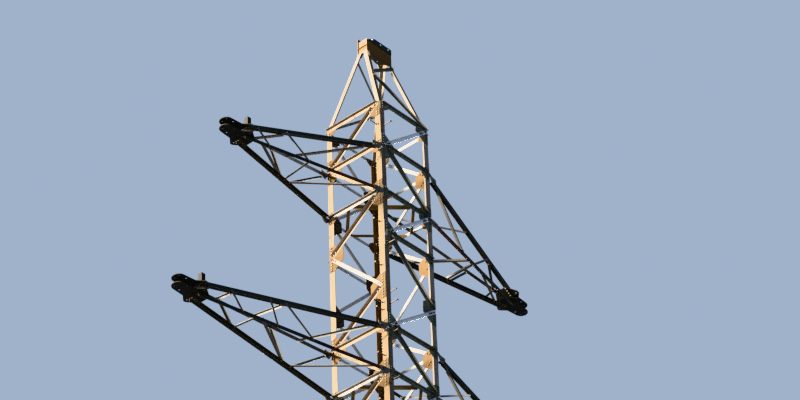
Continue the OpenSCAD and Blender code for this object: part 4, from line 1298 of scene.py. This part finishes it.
def head_bolts(old, new):
    """Bolts of the head: bright ones in the strap and the skirt, old ones through the legs."""
    slope = (BODY_W - HEAD_W) / 2 / PEAK_H
    splay = (BODY_W - HEAD_L) / 2 / PEAK_H
    skirt_n = Vector((0, -1, slope)).normalized()
    front = HEAD_W / 2 + SEAT + HEAD_T
    for side in (0, 1):
        old.turn = new.turn = quarter(2 * side)
        for share in HOLE_SHARE:
            p = Vector((share * HEAD_L, -front - STRAP_T, TOP_Z + HEAD_H - STRAP_H / 2))
            new.bolt(p, UPPER_N, HEAD_T + STRAP_T, stub=LONG_STUB)
        for drop in HEAD_DROPS if side == 0 else ():
            x = -HEAD_L / 2 - drop * splay + PEAK_B * HEAD_GAUGE
            p = Vector((x, -front - drop * slope, TOP_Z - drop))
            old.bolt(p, skirt_n, HEAD_T + PEAK_T + SEAT)
    new.turn = quarter(0)
    drop = SKIRT_H * SKIRT_DROP
    x = -HEAD_L / 2 + HEAD_L * sum(SKIRT_L) / 2
    new.bolt(Vector((x, -front - drop * slope, TOP_Z - drop)), skirt_n, HEAD_T, stub=LONG_STUB)


peak_set = Mesh()
bright_set = Mesh()
peak_bolts(peak_set)
head_bolts(peak_set, bright_set)
peak_set.make("peak_bolts", *BOLTS)
bright_set.make("head_fittings", ZINC, "bolt_steel")

# Floor, light and camera

FLOOR_SIZE = 900.0
FLOOR_COLOUR = (0.70, 0.77, 0.86)
BACKDROP = (0.39, 0.48, 0.63)
FILL = (0.01, 0.02, 0.03)
# Lights: name, direction from the tower, strength, colour, spread in degrees
LIGHTS = (
    ("key", (-1.0, 0.30, 0.10), 11.0, (1.0, 0.86, 0.68), 9),
    ("rim", (0.75, 0.60, 0.28), 4.0, (0.95, 0.97, 1.0), 25),
)
CAMERA_AT = Vector((-31.508, -27.554, 3.285))
AIM = Vector((0.01, -0.459, 33.976))
ROLL = -2.259
LENS = 135.66
FAR = 3000.0


def pale_floor():
    """A matt floor whose colour wavers a little."""
    m = Nodes("pale_floor")
    grain = m.step(m.noise(0.6, 4.0, 0.6), 0.3, 0.7)
    m.feed(m.shader.inputs["Base Color"], m.mix(grain, FLOOR_COLOUR, shade(FLOOR_COLOUR, 0.96)))
    m.feed(m.shader.inputs["Roughness"], 0.9)
    return m.material


floor_mesh = bpy.data.meshes.new("floor")
r = FLOOR_SIZE / 2
floor_mesh.from_pydata([(-r, -r, 0), (r, -r, 0), (r, r, 0), (-r, r, 0)], [], [[0, 1, 2, 3]])
floor_mesh.materials.append(pale_floor())
floor = stand("floor", floor_mesh)


def studio_world():
    """Pale backdrop for the eye, dimmer and cooler as a light on the steel."""
    world = bpy.data.worlds.new("studio")
    world.use_nodes = True
    tree = world.node_tree
    back = tree.nodes["Background"]
    dim = tree.nodes.new("ShaderNodeBackground")
    for node, colour in ((back, BACKDROP), (dim, FILL)):
        node.inputs["Color"].default_value = (*colour, 1)
    path = tree.nodes.new("ShaderNodeLightPath")
    bright = tree.nodes.new("ShaderNodeMath")
    bright.operation = "MAXIMUM"
    mix = tree.nodes.new("ShaderNodeMixShader")
    for a, b in (
        (path.outputs["Is Camera Ray"], bright.inputs[0]), (path.outputs["Is Glossy Ray"], bright.inputs[1]),
        (bright.outputs[0], mix.inputs["Fac"]), (dim.outputs[0], mix.inputs[1]),
        (back.outputs[0], mix.inputs[2]), (mix.outputs[0], tree.nodes["World Output"].inputs["Surface"]),
    ):
        tree.links.new(a, b)
    bpy.context.scene.world = world


def sun(name, towards, strength, colour, spread):
    """A soft far light."""
    data = bpy.data.lights.new(name, "SUN")
    data.energy = strength
    data.color = colour
    data.angle = math.radians(spread)
    lamp = stand(name, data)
    lamp.rotation_mode = "QUATERNION"
    lamp.rotation_quaternion = Vector(towards).to_track_quat("Z", "Y")


studio_world()
for light in LIGHTS:
    sun(*light)
bpy.context.scene.view_settings.view_transform = "Khronos PBR Neutral"

camera_data = bpy.data.cameras.new("camera")
camera_data.lens = LENS
camera_data.clip_end = FAR
camera = stand("camera", camera_data)
camera.location = CAMERA_AT
look = (AIM - CAMERA_AT).to_track_quat("-Z", "Y").to_matrix()
camera.rotation_euler = (look @ Matrix.Rotation(math.radians(ROLL), 3, "Z")).to_euler()
bpy.context.scene.camera = camera
